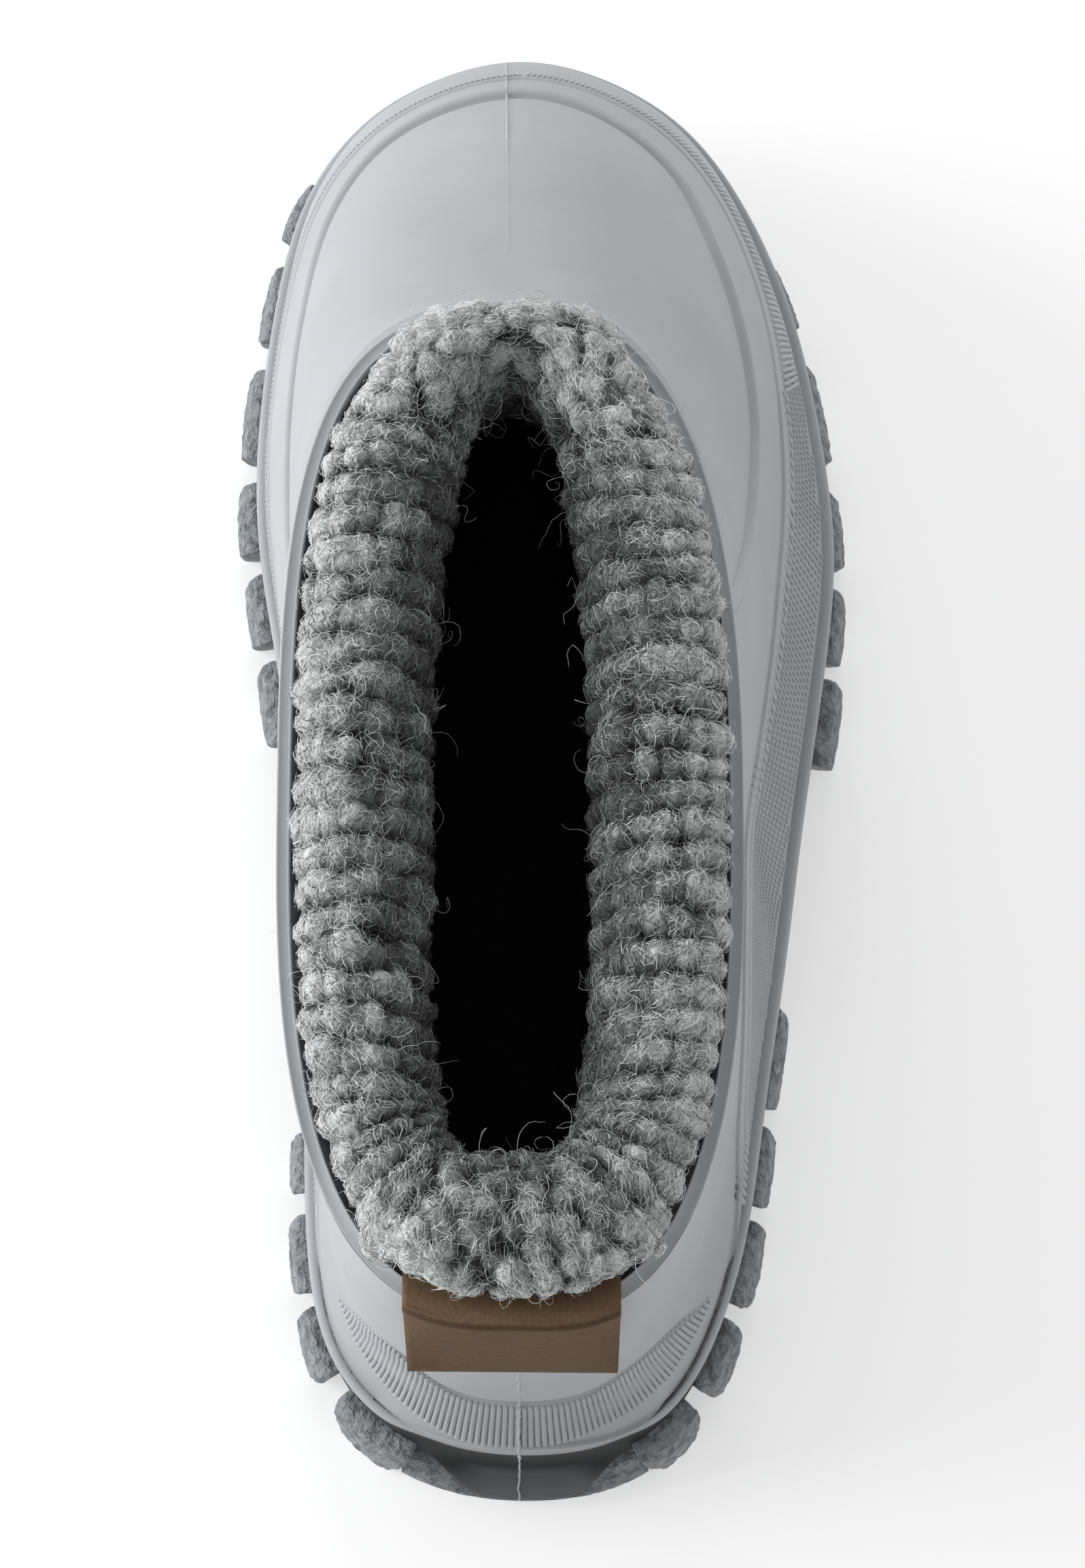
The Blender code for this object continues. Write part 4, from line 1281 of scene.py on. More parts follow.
# Sole
def apron_share(u):
    """How much of an apron there is at each place, and how far it flares at the floor."""
    ends = []
    for a in APRONS:
        low, high = sorted((SOLE.place(a.side, a.rear), SOLE.place(a.side, a.front)))
        ends.append((low, high, a.flare, APRON_SOFT))
    ends.append((-HEEL_APRON_PLACE, HEEL_APRON_PLACE, HEEL_APRON_FLARE, HEEL_APRON_SOFT))
    share = np.zeros_like(u)
    flare = np.zeros_like(u)
    for low, high, spread, soft in ends:
        for turn in (u, u - 1):
            here = ease((turn - low) / soft) * ease((high - turn) / soft)
            share = np.maximum(share, here)
            flare = np.maximum(flare, here * spread)
    return share, flare


def foxing_rows(u):
    edge = SOLE.at(u)
    ledge = edge[:, 2]
    share, flare = apron_share(u)
    inner = PLATE_TOP + GAP + spring(edge[:, 1])
    skirt = inner - FOXING_STEP
    foot = skirt + (APRON_BOTTOM - skirt) * share
    wall_low = np.minimum(ledge - FOXING_LOW, foot + APRON_HEIGHT)
    rows = [
        edge_row(u, -SKIRT_INSET, inner),
        edge_row(u, -SKIRT_INSET, foot),
        edge_row(u, flare - FOXING_STEP, foot),
        edge_row(u, 0.5 * (flare - FOXING_WALL) - 0.35 - 0.5 * share, 0.5 * (foot + wall_low)),
        edge_row(u, -FOXING_WALL - 0.8 * share, wall_low),
    ]
    tuck = HEEL_TUCK * ease((0.045 - near_heel(u)) / 0.02)
    for rim in FOXING_RIM:
        rows.append(edge_row(u, rim.offset - tuck, ledge - rim.below))
    return np.array(rows)


def round_rows(rows, turns=2):
    """Rounds a section's corners by cutting them, the two end rows kept."""
    for _ in range(turns):
        cut = [rows[0]]
        for a, b in zip(rows[:-1], rows[1:]):
            cut.append(0.75 * a + 0.25 * b)
            cut.append(0.25 * a + 0.75 * b)
        cut.append(rows[-1])
        rows = np.array(cut)
    return rows


def make_foxing(material):
    build = Build()
    u = places(SOLE_COLUMNS)
    rows = round_rows(foxing_rows(u))
    below = SOLE.at(u)[None, :, 2] - rows[..., 2]
    heel = ease((0.05 - near_heel(u)) / 0.02)
    pale = FOXING_PALE + (FOXING_PALE_HEEL - FOXING_PALE) * heel
    # Painted shade: at the heel the dark is deepest just under the rim's overhang and lighter towards the
    # floor
    deep = 0.16 + heel * (0.17 - 0.32 * ease((18.5 - below) / 6.0))
    capped(build, rows, tone=deep + (1 - deep) * (1 - ease((below - pale) / 0.5)))
    return put(build.piece("foxing", material), "foxing_rubber", "midsole")


def rounded_outline(corners, radius, count, fine_from=None):
    """A closed outline with its corners rounded, at count points, closer together beyond x = fine_from."""
    corners = np.asarray(corners, float)
    points = []
    for before, here, after in zip(np.roll(corners, 1, 0), corners, np.roll(corners, -1, 0)):
        back = before - here
        ahead = after - here
        reach = min(radius, 0.45 * np.linalg.norm(back), 0.45 * np.linalg.norm(ahead))
        start = here + back / np.linalg.norm(back) * reach
        end = here + ahead / np.linalg.norm(ahead) * reach
        for t in np.linspace(0, 1, 5):
            points.append((1 - t) ** 2 * start + 2 * t * (1 - t) * here + t * t * end)
    points = np.array(points + points[:1])
    length = np.linalg.norm(np.diff(points, axis=0), axis=1)
    if fine_from is not None:
        length = length * np.where(points[1:, 0] > fine_from, 3.0, 1.0)
    run = np.concatenate([[0.0], np.cumsum(length)])
    marks = np.linspace(0, run[-1], count, endpoint=False)
    return np.stack([np.interp(marks, run, points[:, k]) for k in range(2)], -1)


LUG_SECTIONS = 26
LUG_OUTLINE = 56
LUG_ROUND = 0.5
LUG_END_ROUND = 0.55
LUG_DRAFT_REAR = 2.8
LUG_DRAFT_FRONT = 1.4
BARK_DEEP = 0.24
FLANGE_END = 0.0345


def lug_sections(lug):
    """Rounded sections of one lug, from its rear end to its front, with sloping ends and a rough skin."""
    rear = float(SOLE.place(lug.side, lug.rear))
    front = float(SOLE.place(lug.side, lug.front))
    per_mm = math.copysign(1 / edge_length(), front - rear)
    length = (front - rear) / per_mm
    turn = np.linspace(0, math.pi, LUG_SECTIONS)
    rows = []
    for share in 0.5 - 0.5 * np.cos(turn) * (0.5 + 0.5 * np.abs(np.cos(turn))):
        end = min(share, 1 - share) * length
        round_in = LUG_END_ROUND * (1 - math.sqrt(max(0.0, 1 - (1 - min(end / LUG_END_ROUND, 1.0)) ** 2)))
        reach = lug.reach * (1 + 0.06 * math.sin(math.pi * share)) - 0.6 * round_in
        top = LUG_TOP - 0.5 * round_in
        depth = LUG_DEPTH - 0.4 * round_in
        corners = [
            (-depth, 0.0),
            (reach - 0.6, 0.0),
            (reach, 0.8),
            (reach - 0.1, 7.2),
            (max(reach - 1.0, 0.45), top - 0.9),
            (0.2, top),
            (-2.6, top - 0.4),
            (-2.9, PLATE_TOP - 2 * GAP),
            (-depth, PLATE_BOTTOM + 0.5),
        ]
        outline = rounded_outline(corners, LUG_ROUND, LUG_OUTLINE, -3.2)
        low = ease(1 - outline[:, 1] / LUG_TOP)
        slide = low * (LUG_DRAFT_REAR * (1 - share) - LUG_DRAFT_FRONT * share)
        place = rear + per_mm * (share * length + slide)
        edge = SOLE.at(place)
        plan = edge[:, :2] + SOLE.normal(place) * outline[:, :1]
        rows.append(np.column_stack([plan, outline[:, 1] + spring(edge[:, 1])]))
    rows = np.array(rows)
    normal = grid_normals(rows)
    middle = LUG_SECTIONS // 2
    if (normal[middle] * (rows[middle] - rows[middle].mean(0))).sum() < 0:
        normal = -normal
    bark = 0.6 * roughness_at(rows, 1.0, (1.0, 1.0, 0.55), 3)
    cracks = np.abs(roughness_at(rows + 40.0, 1.5, (1.0, 1.0, 0.6), 2))
    moved = rows + normal * (BARK_DEEP * (bark - cracks))[..., None]
    floor = spring(moved[..., 1])
    low = rows[..., 2] < 0.8 + floor
    moved[..., 2] = np.where(low, np.maximum(rows[..., 2], floor), moved[..., 2])
    return moved


def flange_sections():
    """The low edge of the outsole that shows on both sides of the heel apron, from lug to lug."""
    rows = []
    for place in np.linspace(-FLANGE_END, FLANGE_END, 34):
        clear = float(ease((abs(place) - 0.012) / 0.020))
        corners = [
            (-6.0, 0.0),
            (1.45, 0.0),
            (1.7, 0.6),
            (-0.6 + 2.1 * clear, 1.4 + 1.2 * clear),
            (-2.6 + 2.4 * clear, 2.6 + 2.6 * clear),
            (-4.0, 2.8 + 3.2 * clear),
            (-6.0, 2.8 + 3.2 * clear),
        ]
        outline = rounded_outline(corners, 0.4, 36)
        edge = SOLE.at(np.full(len(outline), place))
        plan = edge[:, :2] + SOLE.normal(np.full(len(outline), place)) * outline[:, :1]
        rows.append(np.column_stack([plan, outline[:, 1]]))
    return np.array(rows)


def block_rings(x, y, turn):
    """One tread block as rings from the plate down to the floor."""
    rings = []
    for z, grow in ((PLATE_BOTTOM + 0.5, 0.5), (0.7, -0.15), (0.2, -0.3), (0.0, -0.8)):
        wide = BLOCK_WIDTH / 2 + grow
        deep = BLOCK_LENGTH / 2 + grow
        outline = rounded_outline([(-wide, -deep), (wide, -deep), (wide, deep), (-wide, deep)], 1.2, 24)
        px = x + outline[:, 0] * math.cos(turn) - outline[:, 1] * math.sin(turn)
        py = y + outline[:, 0] * math.sin(turn) + outline[:, 1] * math.cos(turn)
        rings.append(np.stack([px, py, z + spring(py)], -1))
    return np.array(rings)


def make_tread(material):
    build = Build()
    u = places(SOLE_COLUMNS // 2)
    lift = spring(SOLE.at(u)[:, 1])
    plate = [
        edge_row(u, -PLATE_INSET - 0.4, PLATE_BOTTOM + lift),
        edge_row(u, -PLATE_INSET, PLATE_BOTTOM + 0.4 + lift),
        edge_row(u, -PLATE_INSET, PLATE_TOP + lift),
    ]
    capped(build, plate)
    for lug in EDGE_LUGS:
        capped(build, lug_sections(lug))
    capped(build, flange_sections())
    for block in TREAD_BLOCKS:
        for k in range(block.count):
            y = block.first + (block.last - block.first) * k / (block.count - 1)
            for side in (-1, 1):
                turn = math.radians(block.turn) * -side
                capped(build, block_rings(AXIS_X + side * block.offset, y, turn))
    return put(build.piece("outsole_tread", material), "dark_rubber", "outsole")


# Lining
def hole_place(u):
    """Where a rib from place u of the collar meets the hole's edge: straight across at the sides."""
    found = np.empty_like(u)
    for k, side in enumerate(("lateral", "medial")):
        here = (u <= 0.5) if k == 0 else (u > 0.5)
        mark = near_heel(u[here])
        stations = np.linspace(RIB_SQUARE_REAR, RIB_SQUARE_FRONT, 60)
        rim = near_heel(np.array([COLLAR.place(side, y) for y in stations]))
        hole = near_heel(np.array([HOLE.place(side, y) for y in stations]))
        rim = np.concatenate([[0.0], rim, [0.5]])
        hole = np.concatenate([[0.0], hole, [0.5]])
        place = np.interp(mark, rim, hole)
        found[here] = place if k == 0 else 1 - place
    return found


def cuff_over(u):
    """How far the cuff reaches out over the rim."""
    heel = near_heel(u)
    lateral = np.where(u <= 0.5, 1.0, 0.0) * ease((heel - 0.07) / 0.06) * ease((0.48 - heel) / 0.06)
    over = CUFF_OVER_MEDIAL + (CUFF_OVER_LATERAL - CUFF_OVER_MEDIAL) * lateral
    over = over + CUFF_OVER_FRONT * ease((0.068 - np.abs(u - 0.5)) / 0.04)
    return over + CUFF_OVER_BACK * ease((0.085 - heel) / 0.03)


def toward_hole(u, roll):
    """A row of the cuff, between the inside of the rim and the hole; it leaves room for the tab."""
    rim = COLLAR.at(u)
    at_label = ease((0.062 - near_heel(u)) / 0.014)
    start = CUFF_START + CUFF_AT_LABEL * at_label * ease((4.0 - roll.rise) / 3.0)
    start = start - cuff_over(u) * ease((roll.rise - 0.4) / 1.4)
    row = rim.copy()
    row[:, :2] -= COLLAR.normal(u) * start[:, None]
    row += (HOLE.at(hole_place(u)) - row) * roll.toward_hole
    row[:, 2] = rim[:, 2] + roll.rise + 1.2 * at_label * ease(roll.rise / 1.8)
    return row


def lining_inside(u):
    """Rows of the lining's inner face, from the shaft down to the foot."""
    depth = WALL + LINING_GAP + LINING
    return [wall_in(u, level, depth) for level in (0.66, 0.5, 0.35, 0.2, 0.08, 0.0)]


HIDDEN_ROWS = 6
CUFF_DENSE = 10


def lining_rows(u):
    """Control rows of the lining's closed section, hidden outside first, then cuff, then inside."""
    skin = WALL + LINING_GAP
    rows = [wall_off(u, level, -skin) for level in (0.004, 0.15, 0.3, 0.5, 0.7, 0.88)]
    rows[0][:, 2] = wall_point(u, 0.0)[:, 2]
    for roll in CUFF_ROLL:
        rows.append(toward_hole(u, roll))
    return np.array(rows + lining_inside(u))


def dense_rows(rows):
    """Rows between the control rows: many on the cuff, few where the lining is hidden."""
    last_cuff = HIDDEN_ROWS + len(CUFF_ROLL) - 1
    dense = []
    for i in range(len(rows) - 1):
        a = rows[max(i - 1, 0)]
        b = rows[i]
        c = rows[i + 1]
        d = rows[min(i + 2, len(rows) - 1)]
        curved = HIDDEN_ROWS < i < len(rows) - 2
        count = 1 if i < HIDDEN_ROWS else CUFF_DENSE if i < last_cuff else 3
        for t in np.linspace(0, 1, count, endpoint=False):
            if curved:
                point = 0.5 * (2 * b + (c - a) * t + (2 * a - 5 * b + 4 * c - d) * t * t
                               + (3 * b - a - 3 * c + d) * t ** 3)
            else:
                point = b + (c - b) * t
            dense.append(point)
    dense.append(rows[-1])
    return np.array(dense)


def nub_field(u, w, pitch):
    """Height and tint of the knit's nubs, at place u round the cuff and w across it."""
    rng = np.random.default_rng(5)
    size = 128
    phase = rng.uniform(0, 1, size)
    stretch = rng.uniform(0.85, 1.2, size) * NUB_PITCH
    shift = rng.uniform(-1, 1, (2, size, size))
    radius = rng.uniform(0.85, 1.12, (size, size))
    rise = rng.uniform(0.62, 1.1, (size, size)) * NUB_RISE
    wild = unruly(u)
    rib = u * RIBS + 0.10 * np.sin(w / 5.0 + 9 * u * 6.28) + 0.08 * np.sin(w / 2.3 + 31 * u * 6.28)
    field = np.zeros(np.broadcast(u, w).shape)
    shade_field = np.zeros_like(field)
    tint = rng.uniform(0.55, 1.45, (size, size))
    base = np.floor(rib).astype(int)
    for di in (-1, 0, 1):
        i = (base + di) % RIBS
        span = w / stretch[i] + phase[i]
        for dj in (-1, 0, 1):
            j = np.floor(span).astype(int) + dj
            k = j % size
            dw = (span - j - 0.5 - (0.2 + 0.2 * wild) * shift[0, i, k]) * stretch[i]
            du = (rib - (base + di) - 0.5 - (0.09 + 0.36 * wild) * shift[1, i, k]) * pitch
            wide = np.minimum(0.54 * pitch, NUB_RADIUS) * radius[i, k]
            d2 = (dw / (NUB_RADIUS * radius[i, k])) ** 2 + (du / wide) ** 2
            dome = rise[i, k] * np.sqrt(np.clip(1 - d2, 0, 1))
            shade_field = np.where(dome > field, tint[i, k], shade_field)
            field = np.maximum(field, dome)
    return field, shade_field


def tuft_field(points):
    """Height and tint of round tufts strewn over a surface without any order."""
    flat = points.reshape(-1, 3)
    height = np.empty(len(flat))
    tint = np.empty(len(flat))
    for i, p in enumerate(flat):
        near, cells = noise.voronoi(Vector(p) / TUFT_SIZE)
        height[i] = near[0]
        tint[i] = math.sin(cells[0].dot(Vector((12.99, 78.23, 37.72)))) * 43758.5453 % 1.0
    height = np.sqrt(np.clip(1 - (height / 0.72) ** 2, 0, 1)) * NUB_RISE
    return height.reshape(points.shape[:-1]), 0.55 + 0.9 * tint.reshape(points.shape[:-1])


def front_share(u):
    """1 at the front of the cuff."""
    return ease((0.115 - np.abs(u - 0.5)) / 0.05)


def unruly(u):
    """1 at the front and the back of the cuff, where the ribs lose their order."""
    return np.maximum(front_share(u), ease((0.080 - near_heel(u)) / 0.035))


class Knit:
    """The cuff's surface on a fine grid, with its nubs, ready for fibres to be laid on it."""

    def __init__(self):
        self.columns = LINING_COLUMNS
        u = places(self.columns)
        plain = dense_rows(lining_rows(u))
        self.first = HIDDEN_ROWS + 3
        self.last = HIDDEN_ROWS + CUFF_DENSE * (len(CUFF_ROLL) - 1) - 4
        width = np.linalg.norm(np.diff(plain, axis=0), axis=-1).mean(1)
        across = np.concatenate([[0.0], np.cumsum(width)])
        along_u = np.linalg.norm(np.roll(plain, -1, 1) - plain, axis=-1)
        pitch = along_u * self.columns / RIBS
        row = np.arange(len(plain))[:, None]
        cuff = ease((row - HIDDEN_ROWS) / 8.0) * ease((self.last + 6 - row) / 14.0)
        normal = grid_normals(plain)
        middle = (self.first + self.last) // 2
        if normal[middle, :, 2].mean() < 0:
            normal = -normal
        nubs, tint = nub_field(u[None, :], across[:, None], pitch)
        tufts, tuft_tint = tuft_field(plain)
        wild = unruly(u)[None, :]
        nubs = nubs + (tufts * (1 - 0.3 * front_share(u)) - nubs) * wild
        self.tint = tint + (tuft_tint - tint) * wild
        fuzz = roughness_at(plain, 1.3, octaves=4)
        self.nubs = nubs * cuff
        self.points = plain + normal * ((nubs - 0.55 * NUB_RISE + 0.32 * fuzz) * cuff)[..., None]
        self.place = np.stack(np.broadcast_arrays(u[None, :] * RIBS * 4.0, across[:, None], 0.0), -1)
        share = np.clip((row - HIDDEN_ROWS) / (self.last - HIDDEN_ROWS), 0, 1) + 0 * along_u
        front = front_share(u)[None, :]
        # Painted light and shade: the cuff is paler towards its rim and at its front, darker towards the
        # hole
        self.light = across_painted_light(share * (1 - 0.3 * front)) * (1 + 0.95 * front)
        self.outer = ease((0.55 - share) / 0.3)
        self.normals = grid_normals(self.points)
        if self.normals[middle, :, 2].mean() < 0:
            self.normals = -self.normals
        self.mm_column = np.maximum(along_u, 0.05)
        self.mm_row = np.maximum(np.gradient(across)[:, None] + 0 * along_u, 0.05)

    def read(self, field, row, column):
        """A value of the grid between its points."""
        r0 = np.clip(np.floor(row).astype(int), 0, len(field) - 2)
        c0 = np.floor(column).astype(int)
        fr = row - r0
        fc = column - c0
        if field.ndim == 3:
            fr = fr[..., None]
            fc = fc[..., None]
        a = c0 % self.columns
        b = (c0 + 1) % self.columns
        low = field[r0, a] * (1 - fc) + field[r0, b] * fc
        high = field[r0 + 1, a] * (1 - fc) + field[r0 + 1, b] * fc
        return low * (1 - fr) + high * fr

    def starts(self, rng, count, weight=None):
        """Random places on the cuff, even by area."""
        area = (self.mm_column * self.mm_row)[self.first:self.last]
        if weight is not None:
            area = area * weight[self.first:self.last]
        run = np.cumsum(area.ravel())
        picked = np.searchsorted(run, rng.uniform(0, run[-1], count))
        row = picked // self.columns + self.first + rng.uniform(0, 1, count)
        column = picked % self.columns + rng.uniform(0, 1, count)
        return row, column


def painted_depth_shade(points):
    """Painted shade: dark deep inside the boot, full above the rim; it also thins the fibres there."""
    return ease((points[..., 2] - 68.0) / 20.0)


def across_painted_light(share):
    """Painted light and shade: paler towards the rim, darker towards the hole."""
    return read_table(CUFF_PAINTED_LIGHT, "place", "tone", share)


def make_lining(knit, material):
    build = Build()
    patch = roughness_at(knit.points, 7.0, octaves=2)
    nub = np.clip(knit.nubs / NUB_RISE, 0, 1)
    # Painted shade: the knit is dark in the valleys between its nubs and paler on their tops
    tone = (0.02 + 0.4 * knit.tint * nub ** 2 + 0.08 * patch) * knit.light
    # Painted shade: the lining darkens to near black deep inside the boot
    tone = np.clip(tone * (0.02 + 0.98 * painted_depth_shade(knit.points)), 0, 1)
    quads = grid_quads(len(knit.points), knit.columns, wrap_rows=True)
    build.add(knit.points, quads, tone=tone, knit=knit.place)
    lining = put(build.piece("knit_lining", material), "knit", "liner")
    return lining


def make_fibres(knit, material):
    """Short curled fibres laid all over the nubs, pale and dark ones mixed."""
    weight = (0.3 + (knit.nubs / NUB_RISE) ** 2) * (0.25 + 0.75 * painted_depth_shade(knit.points))
    for group in range(FIBRE_GROUPS):
        rng = np.random.default_rng(40 + group)
        row, column = knit.starts(rng, FIBRES, weight)
        heading = rng.uniform(0, 2 * math.pi, FIBRES)
        curl = rng.uniform(0.3, 1.7, FIBRES) * rng.choice([-1, 1], FIBRES)
        lift = 0.05 + 0.3 * rng.uniform(0, 1, FIBRES) ** 2
        free = 0.8 * rng.uniform(0, 1, FIBRES) ** 3
        step = FIBRE_STEP * rng.uniform(0.6, 1.35, FIBRES)
        nub = np.clip(knit.read(knit.nubs, row, column) / NUB_RISE, 0, 1)
        light = knit.read(knit.light, row, column) * knit.read(knit.tint, row, column)
        outer = knit.read(knit.outer, row, column)
        path = []
        for k in range(FIBRE_POINTS):
            share = k / (FIBRE_POINTS - 1)
            high = lift * math.sin(math.pi * (0.1 + 0.8 * share)) + free * share ** 2 + 0.02
            out = knit.read(knit.normals, row, column)
            path.append(knit.read(knit.points, row, column) + out * high[:, None])
            heading = heading + curl * step * rng.uniform(0.5, 1.5, FIBRES)
            column = column + np.cos(heading) * step / knit.read(knit.mm_column, row, column)
            row = row + np.sin(heading) * step / knit.read(knit.mm_row, row, column)
            row = np.clip(row, knit.first, knit.last)
        paths = np.stack(path, 1)
        radius = FIBRE_RADIUS * rng.uniform(0.7, 1.3, FIBRES)
        mixed = rng.choice(FIBRE_TONES, FIBRES, p=FIBRE_SHARES)
        # Painted shade: fibres in the valleys between nubs are darker, less so towards the rim; the random
        # mix of pale and dark fibres is the wool's own
        deep = 0.3 + 0.2 * outer
        tone = (mixed + rng.normal(0, 0.04, FIBRES)) * (deep + (1 - deep) * nub) * light
        # Painted shade: fibres darken to near black deep inside the boot
        tone = np.clip(tone, 0.01, 1.0) * (0.03 + 0.97 * painted_depth_shade(paths[:, 0]))
        build = Build()
        spindles(build, paths, radius, tone, 60 + group)
        put(build.piece(f"wool_fibres_{group + 1}", material), "knit")


def make_strays(knit, material):
    """Loose hairs that stand off the roll, most of them at the front and along the two edges."""
    rng = np.random.default_rng(90)
    u = places(knit.columns)[None, :]
    row, column = knit.starts(rng, STRAYS, 1 + 3 * unruly(u) + 0 * knit.nubs)
    out = knit.read(knit.normals, row, column)
    point = knit.read(knit.points, row, column)
    heading = unit(out + 0.8 * rng.normal(size=(STRAYS, 3)))
    bend = 0.55 * rng.normal(size=(STRAYS, 3))
    path = [point]
    for _ in range(STRAY_POINTS - 1):
        heading = heading + np.cross(bend, heading) * STRAY_STEP + 0.22 * rng.normal(size=(STRAYS, 3))
        heading[:, 2] -= 0.04
        heading = unit(heading)
        point = point + heading * STRAY_STEP * rng.uniform(0.5, 1.0, (STRAYS, 1))
        path.append(point)
    paths = np.stack(path, 1)
    radius = STRAY_RADIUS * np.linspace(1.0, 0.5, STRAY_POINTS)[None, :] * np.ones((STRAYS, 1))
    tone = np.clip(rng.normal(0.75, 0.2, STRAYS), 0.15, 1.0)
    build = Build()
    tubes(build, paths, radius, tone, 91)
    put(build.piece("wool_strays", material), "knit")


def make_footbed(material):
    """The footbed follows the lining's inner face, a little inside it."""
    u = places(FOOTBED_COLUMNS)
    inside = np.array(lining_inside(u)[::-1])
    out = SOLE.normal(u)
    rows = []
    for height, shrink in ((0.0, 0.0), (INSOLE * 0.7, 0.0), (INSOLE * 0.93, 0.4), (INSOLE, 1.3)):
        row = inside[0].copy()
        row[:, 2] += height
        for i in range(len(u)):
            for k in (0, 1):
                row[i, k] = np.interp(row[i, 2], inside[:, i, 2], inside[:, i, k])
        row[:, :2] -= out * (INSOLE_GAP + shrink)
        rows.append(row)
    build = Build()
    capped(build, rows)
    return put(build.piece("footbed", material), "board", "insole")


# Folded tab
TAB_ACROSS = 41
TAB_ALONG = 64
TAB_THICK = 1.0
TAB_FLARE = 1.0
# Painted light along the tab's section: a highlight on the fold over the rim, painted shade just below the
# fold and towards the wool
TAB_PAINTED_LIGHT = [
    Tone(0.00, 0.96),
    Tone(3.00, 1.06),
    Tone(4.00, 0.90),
    Tone(4.60, 0.80),
    Tone(5.00, 1.50),
    Tone(5.50, 1.90),
    Tone(6.00, 1.70),
    Tone(6.35, 1.20),
    Tone(6.80, 0.85),
    Tone(7.30, 0.60),
    Tone(9.00, 0.50),
]


def tab_section(share):
    """The tab's outer and inner line at one place across it, from its free end up and over the rim."""
    x = LABEL_MIDDLE_X + LABEL_HALF * share
    k = 0 if x > AXIS_X else 1
    rear = COLLAR.sides[k][:160]
    rim_y = np.interp(abs(x - AXIS_X), np.abs(rear[:, 0] - AXIS_X), rear[:, 1])
    rim_z = np.interp(abs(x - AXIS_X), np.abs(rear[:, 0] - AXIS_X), rear[:, 2])
    level = level_at_height(np.array([0.0]), np.array([LABEL_FOOT_Z - HEEL_END[2]]))
    foot_y = wall_off(np.array([0.0]), level, GAP)[0][1]
    lip = rim_y - LIP_RISE - GAP - 0.3 * abs(share) - 0.6 * share * share
    inner = rim_y + WALL + GAP + 0.5 * abs(share)
    hang = lip + (foot_y - lip) * 0.55
    half_z = 0.5 * (LABEL_FOOT_Z + rim_z)
    top = rim_z + GAP
    thick = TAB_THICK
    wave = 0.35 * math.sin(3.1 * share + 0.6)
    outer = [
        (foot_y - thick - TAB_FLARE, LABEL_FOOT_Z - 0.5 * share),
        (hang - thick - 0.5 - 0.3 * wave, half_z - 5.0),
        (lip - thick + 0.25, rim_z - 6.0),
        (lip - thick + 0.25, rim_z - 2.2),
        (lip - thick - 0.15, top + 0.2),
        (lip - 0.55, top + thick + 0.3),
        (lip + 0.6, top + thick - 0.1),
        (inner + 0.2, top + thick - 0.2),
        (inner + thick, top + 0.4),
        (inner + thick, LABEL_INSIDE_Z),
    ]
    back = [
        (foot_y - TAB_FLARE, LABEL_FOOT_Z - 0.5 * share),
        (hang - 0.5 - 0.3 * wave, half_z - 5.0),
        (lip + 0.05, rim_z - 6.0),
        (lip - 0.05, rim_z - 2.4),
        (lip - 0.1, top - 0.2),
        (lip + 0.1, top + 0.12),
        (lip + 0.9, top + 0.1),
        (inner - 0.1, top + 0.1),
        (inner, top - 0.4),
        (inner, LABEL_INSIDE_Z),
    ]
    marks = np.arange(len(outer), dtype=float)
    fine = np.linspace(0, len(outer) - 1, TAB_ALONG)
    lines = []
    for line in (outer, back):
        line = np.array(line)
        lines.append(np.stack([smooth(marks, line[:, k], fine) for k in range(2)], -1))
    ring = np.vstack([lines[0], lines[1][::-1]])
    return np.column_stack([np.full(len(ring), x), ring])


def make_tab(material):
    build = Build()
    # Painted highlight and shade along the tab
    tone = read_table(TAB_PAINTED_LIGHT, "place", "tone", np.linspace(0, TAB_PAINTED_LIGHT[-1].place, TAB_ALONG))
    tone = np.tile(np.concatenate([tone, tone[::-1]]), TAB_ACROSS)
    capped(build, [tab_section(s) for s in np.linspace(-1, 1, TAB_ACROSS)], tone=tone)
    tab = put(build.piece("heel_tab", material), "tan", "heel_label")
    return tab


# Stage
def make_floor():
    bpy.ops.mesh.primitive_plane_add(size=FLOOR_SIZE, location=(0.0, 0.0, FLOOR_Z))
    floor = bpy.context.object
    floor.name = "floor"
    material, _, shader = material_nodes("floor_white")
    set_inputs(shader, Base_Color=(0.85, 0.85, 0.85, 1.0), Roughness=0.9)
    set_inputs(shader, Emission_Color=(1.0, 1.0, 1.0, 1.0), Emission_Strength=FLOOR_GLOW)
    floor.data.materials.append(material)


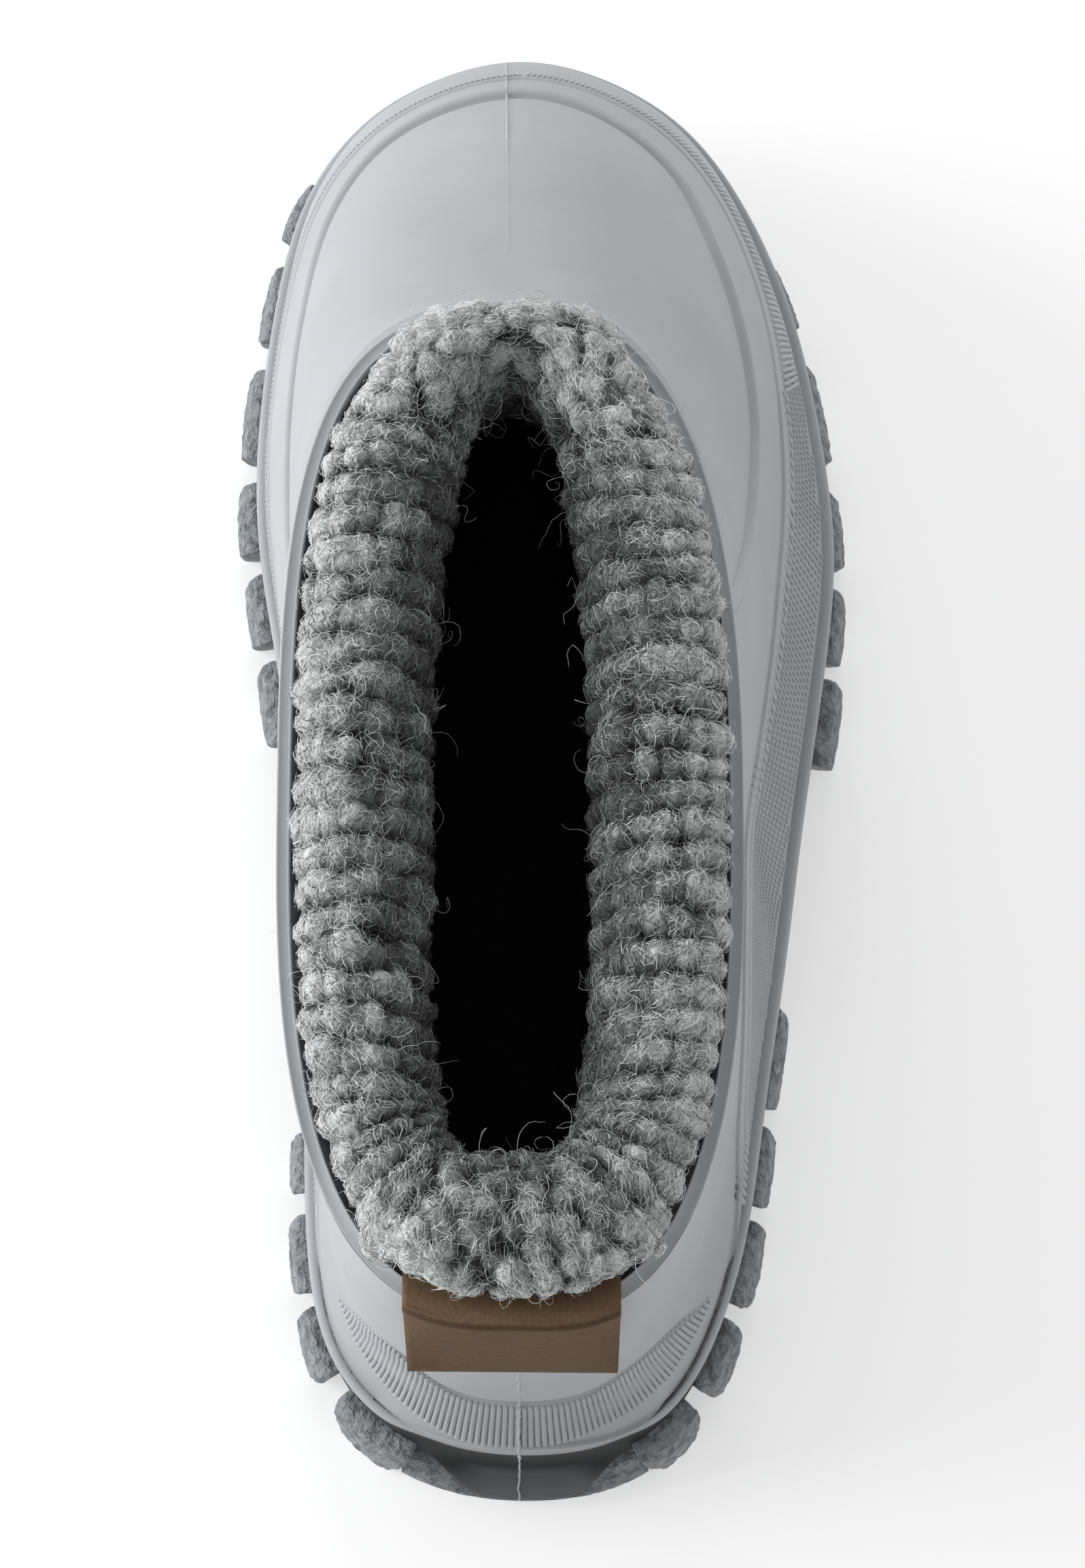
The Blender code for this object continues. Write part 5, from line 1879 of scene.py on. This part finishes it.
def make_lights():
    world = bpy.data.worlds.new("studio")
    bpy.context.scene.world = world
    world.use_nodes = True
    set_inputs(world.node_tree.nodes["Background"], Color=(1.0, 1.0, 1.0, 1.0), Strength=SKY_STRENGTH)
    for lamp in LAMPS:
        data = bpy.data.lights.new(lamp.name, "AREA")
        data.shape = "DISK"
        data.size = lamp.size
        data.energy = lamp.power
        light = bpy.data.objects.new(lamp.name, data)
        light.location = lamp.place
        aim = Vector(LAMP_AIM) - Vector(lamp.place)
        light.rotation_euler = aim.to_track_quat("-Z", "Y").to_euler()
        bpy.context.scene.collection.objects.link(light)


def make_camera():
    data = bpy.data.cameras.new("camera")
    camera = bpy.data.objects.new("camera", data)
    tilt = math.radians(CAMERA_ELEVATION)
    target = Vector(CAMERA_TARGET) * MM
    back = Vector((0.0, -math.cos(tilt), math.sin(tilt))) * CAMERA_DISTANCE * MM
    camera.location = target + back
    camera.rotation_euler = (-back).to_track_quat("-Z", "Y").to_euler()
    data.sensor_width = 36.0
    data.lens = data.sensor_width * CAMERA_FOCUS_PIXELS / PHOTO_HEIGHT
    data.clip_start = 0.01
    bpy.context.scene.collection.objects.link(camera)
    bpy.context.scene.camera = camera


def main():
    bpy.context.scene.view_settings.view_transform = "Standard"
    make_camera()
    make_lights()
    make_floor()

    rubber = pale_rubber("rubber_pale", PALE)
    make_upper(rubber)
    make_pebbles(rubber)
    # The rope's lighter rubber is a painted highlight
    make_teeth(pale_rubber("rubber_rope_painted_light", shade(PALE, ROPE_PAINTED_LIGHT)))
    # The heel ribs' lighter rubber is painted light
    make_heel_ribs(pale_rubber("rubber_ribs_painted_light", shade(PALE, RIB_PAINTED_LIGHT)))
    # The flash's lighter rubber is a painted highlight
    make_parting_lines(pale_rubber("rubber_flash_painted_highlight", shade(PALE, FLASH_PAINTED_HIGHLIGHT)))
    make_foxing(sole_rubber("rubber_foxing", PALE, shade(DARK, FOXING_DARK_AND_PAINTED_SHADE)))
    make_tread(lug_rubber("rubber_dark", *(shade(DARK, factor) for factor in LUG_PIT_SHADE_AND_SKIN)))

    knit = Knit()
    make_lining(knit, wool_knit("wool_knit", WOOL_DARK, KNIT_LIGHT))
    fibre = wool_fibre("wool_fibre", WOOL_DARK, FIBRE_LIGHT)
    make_fibres(knit, fibre)
    make_strays(knit, fibre)
    # The footbed's near-black felt is painted shade
    make_footbed(felt("felt_painted_shade", FELT_PAINTED_SHADE))
    make_tab(tab_leather("leather_tan", TAN))


main()
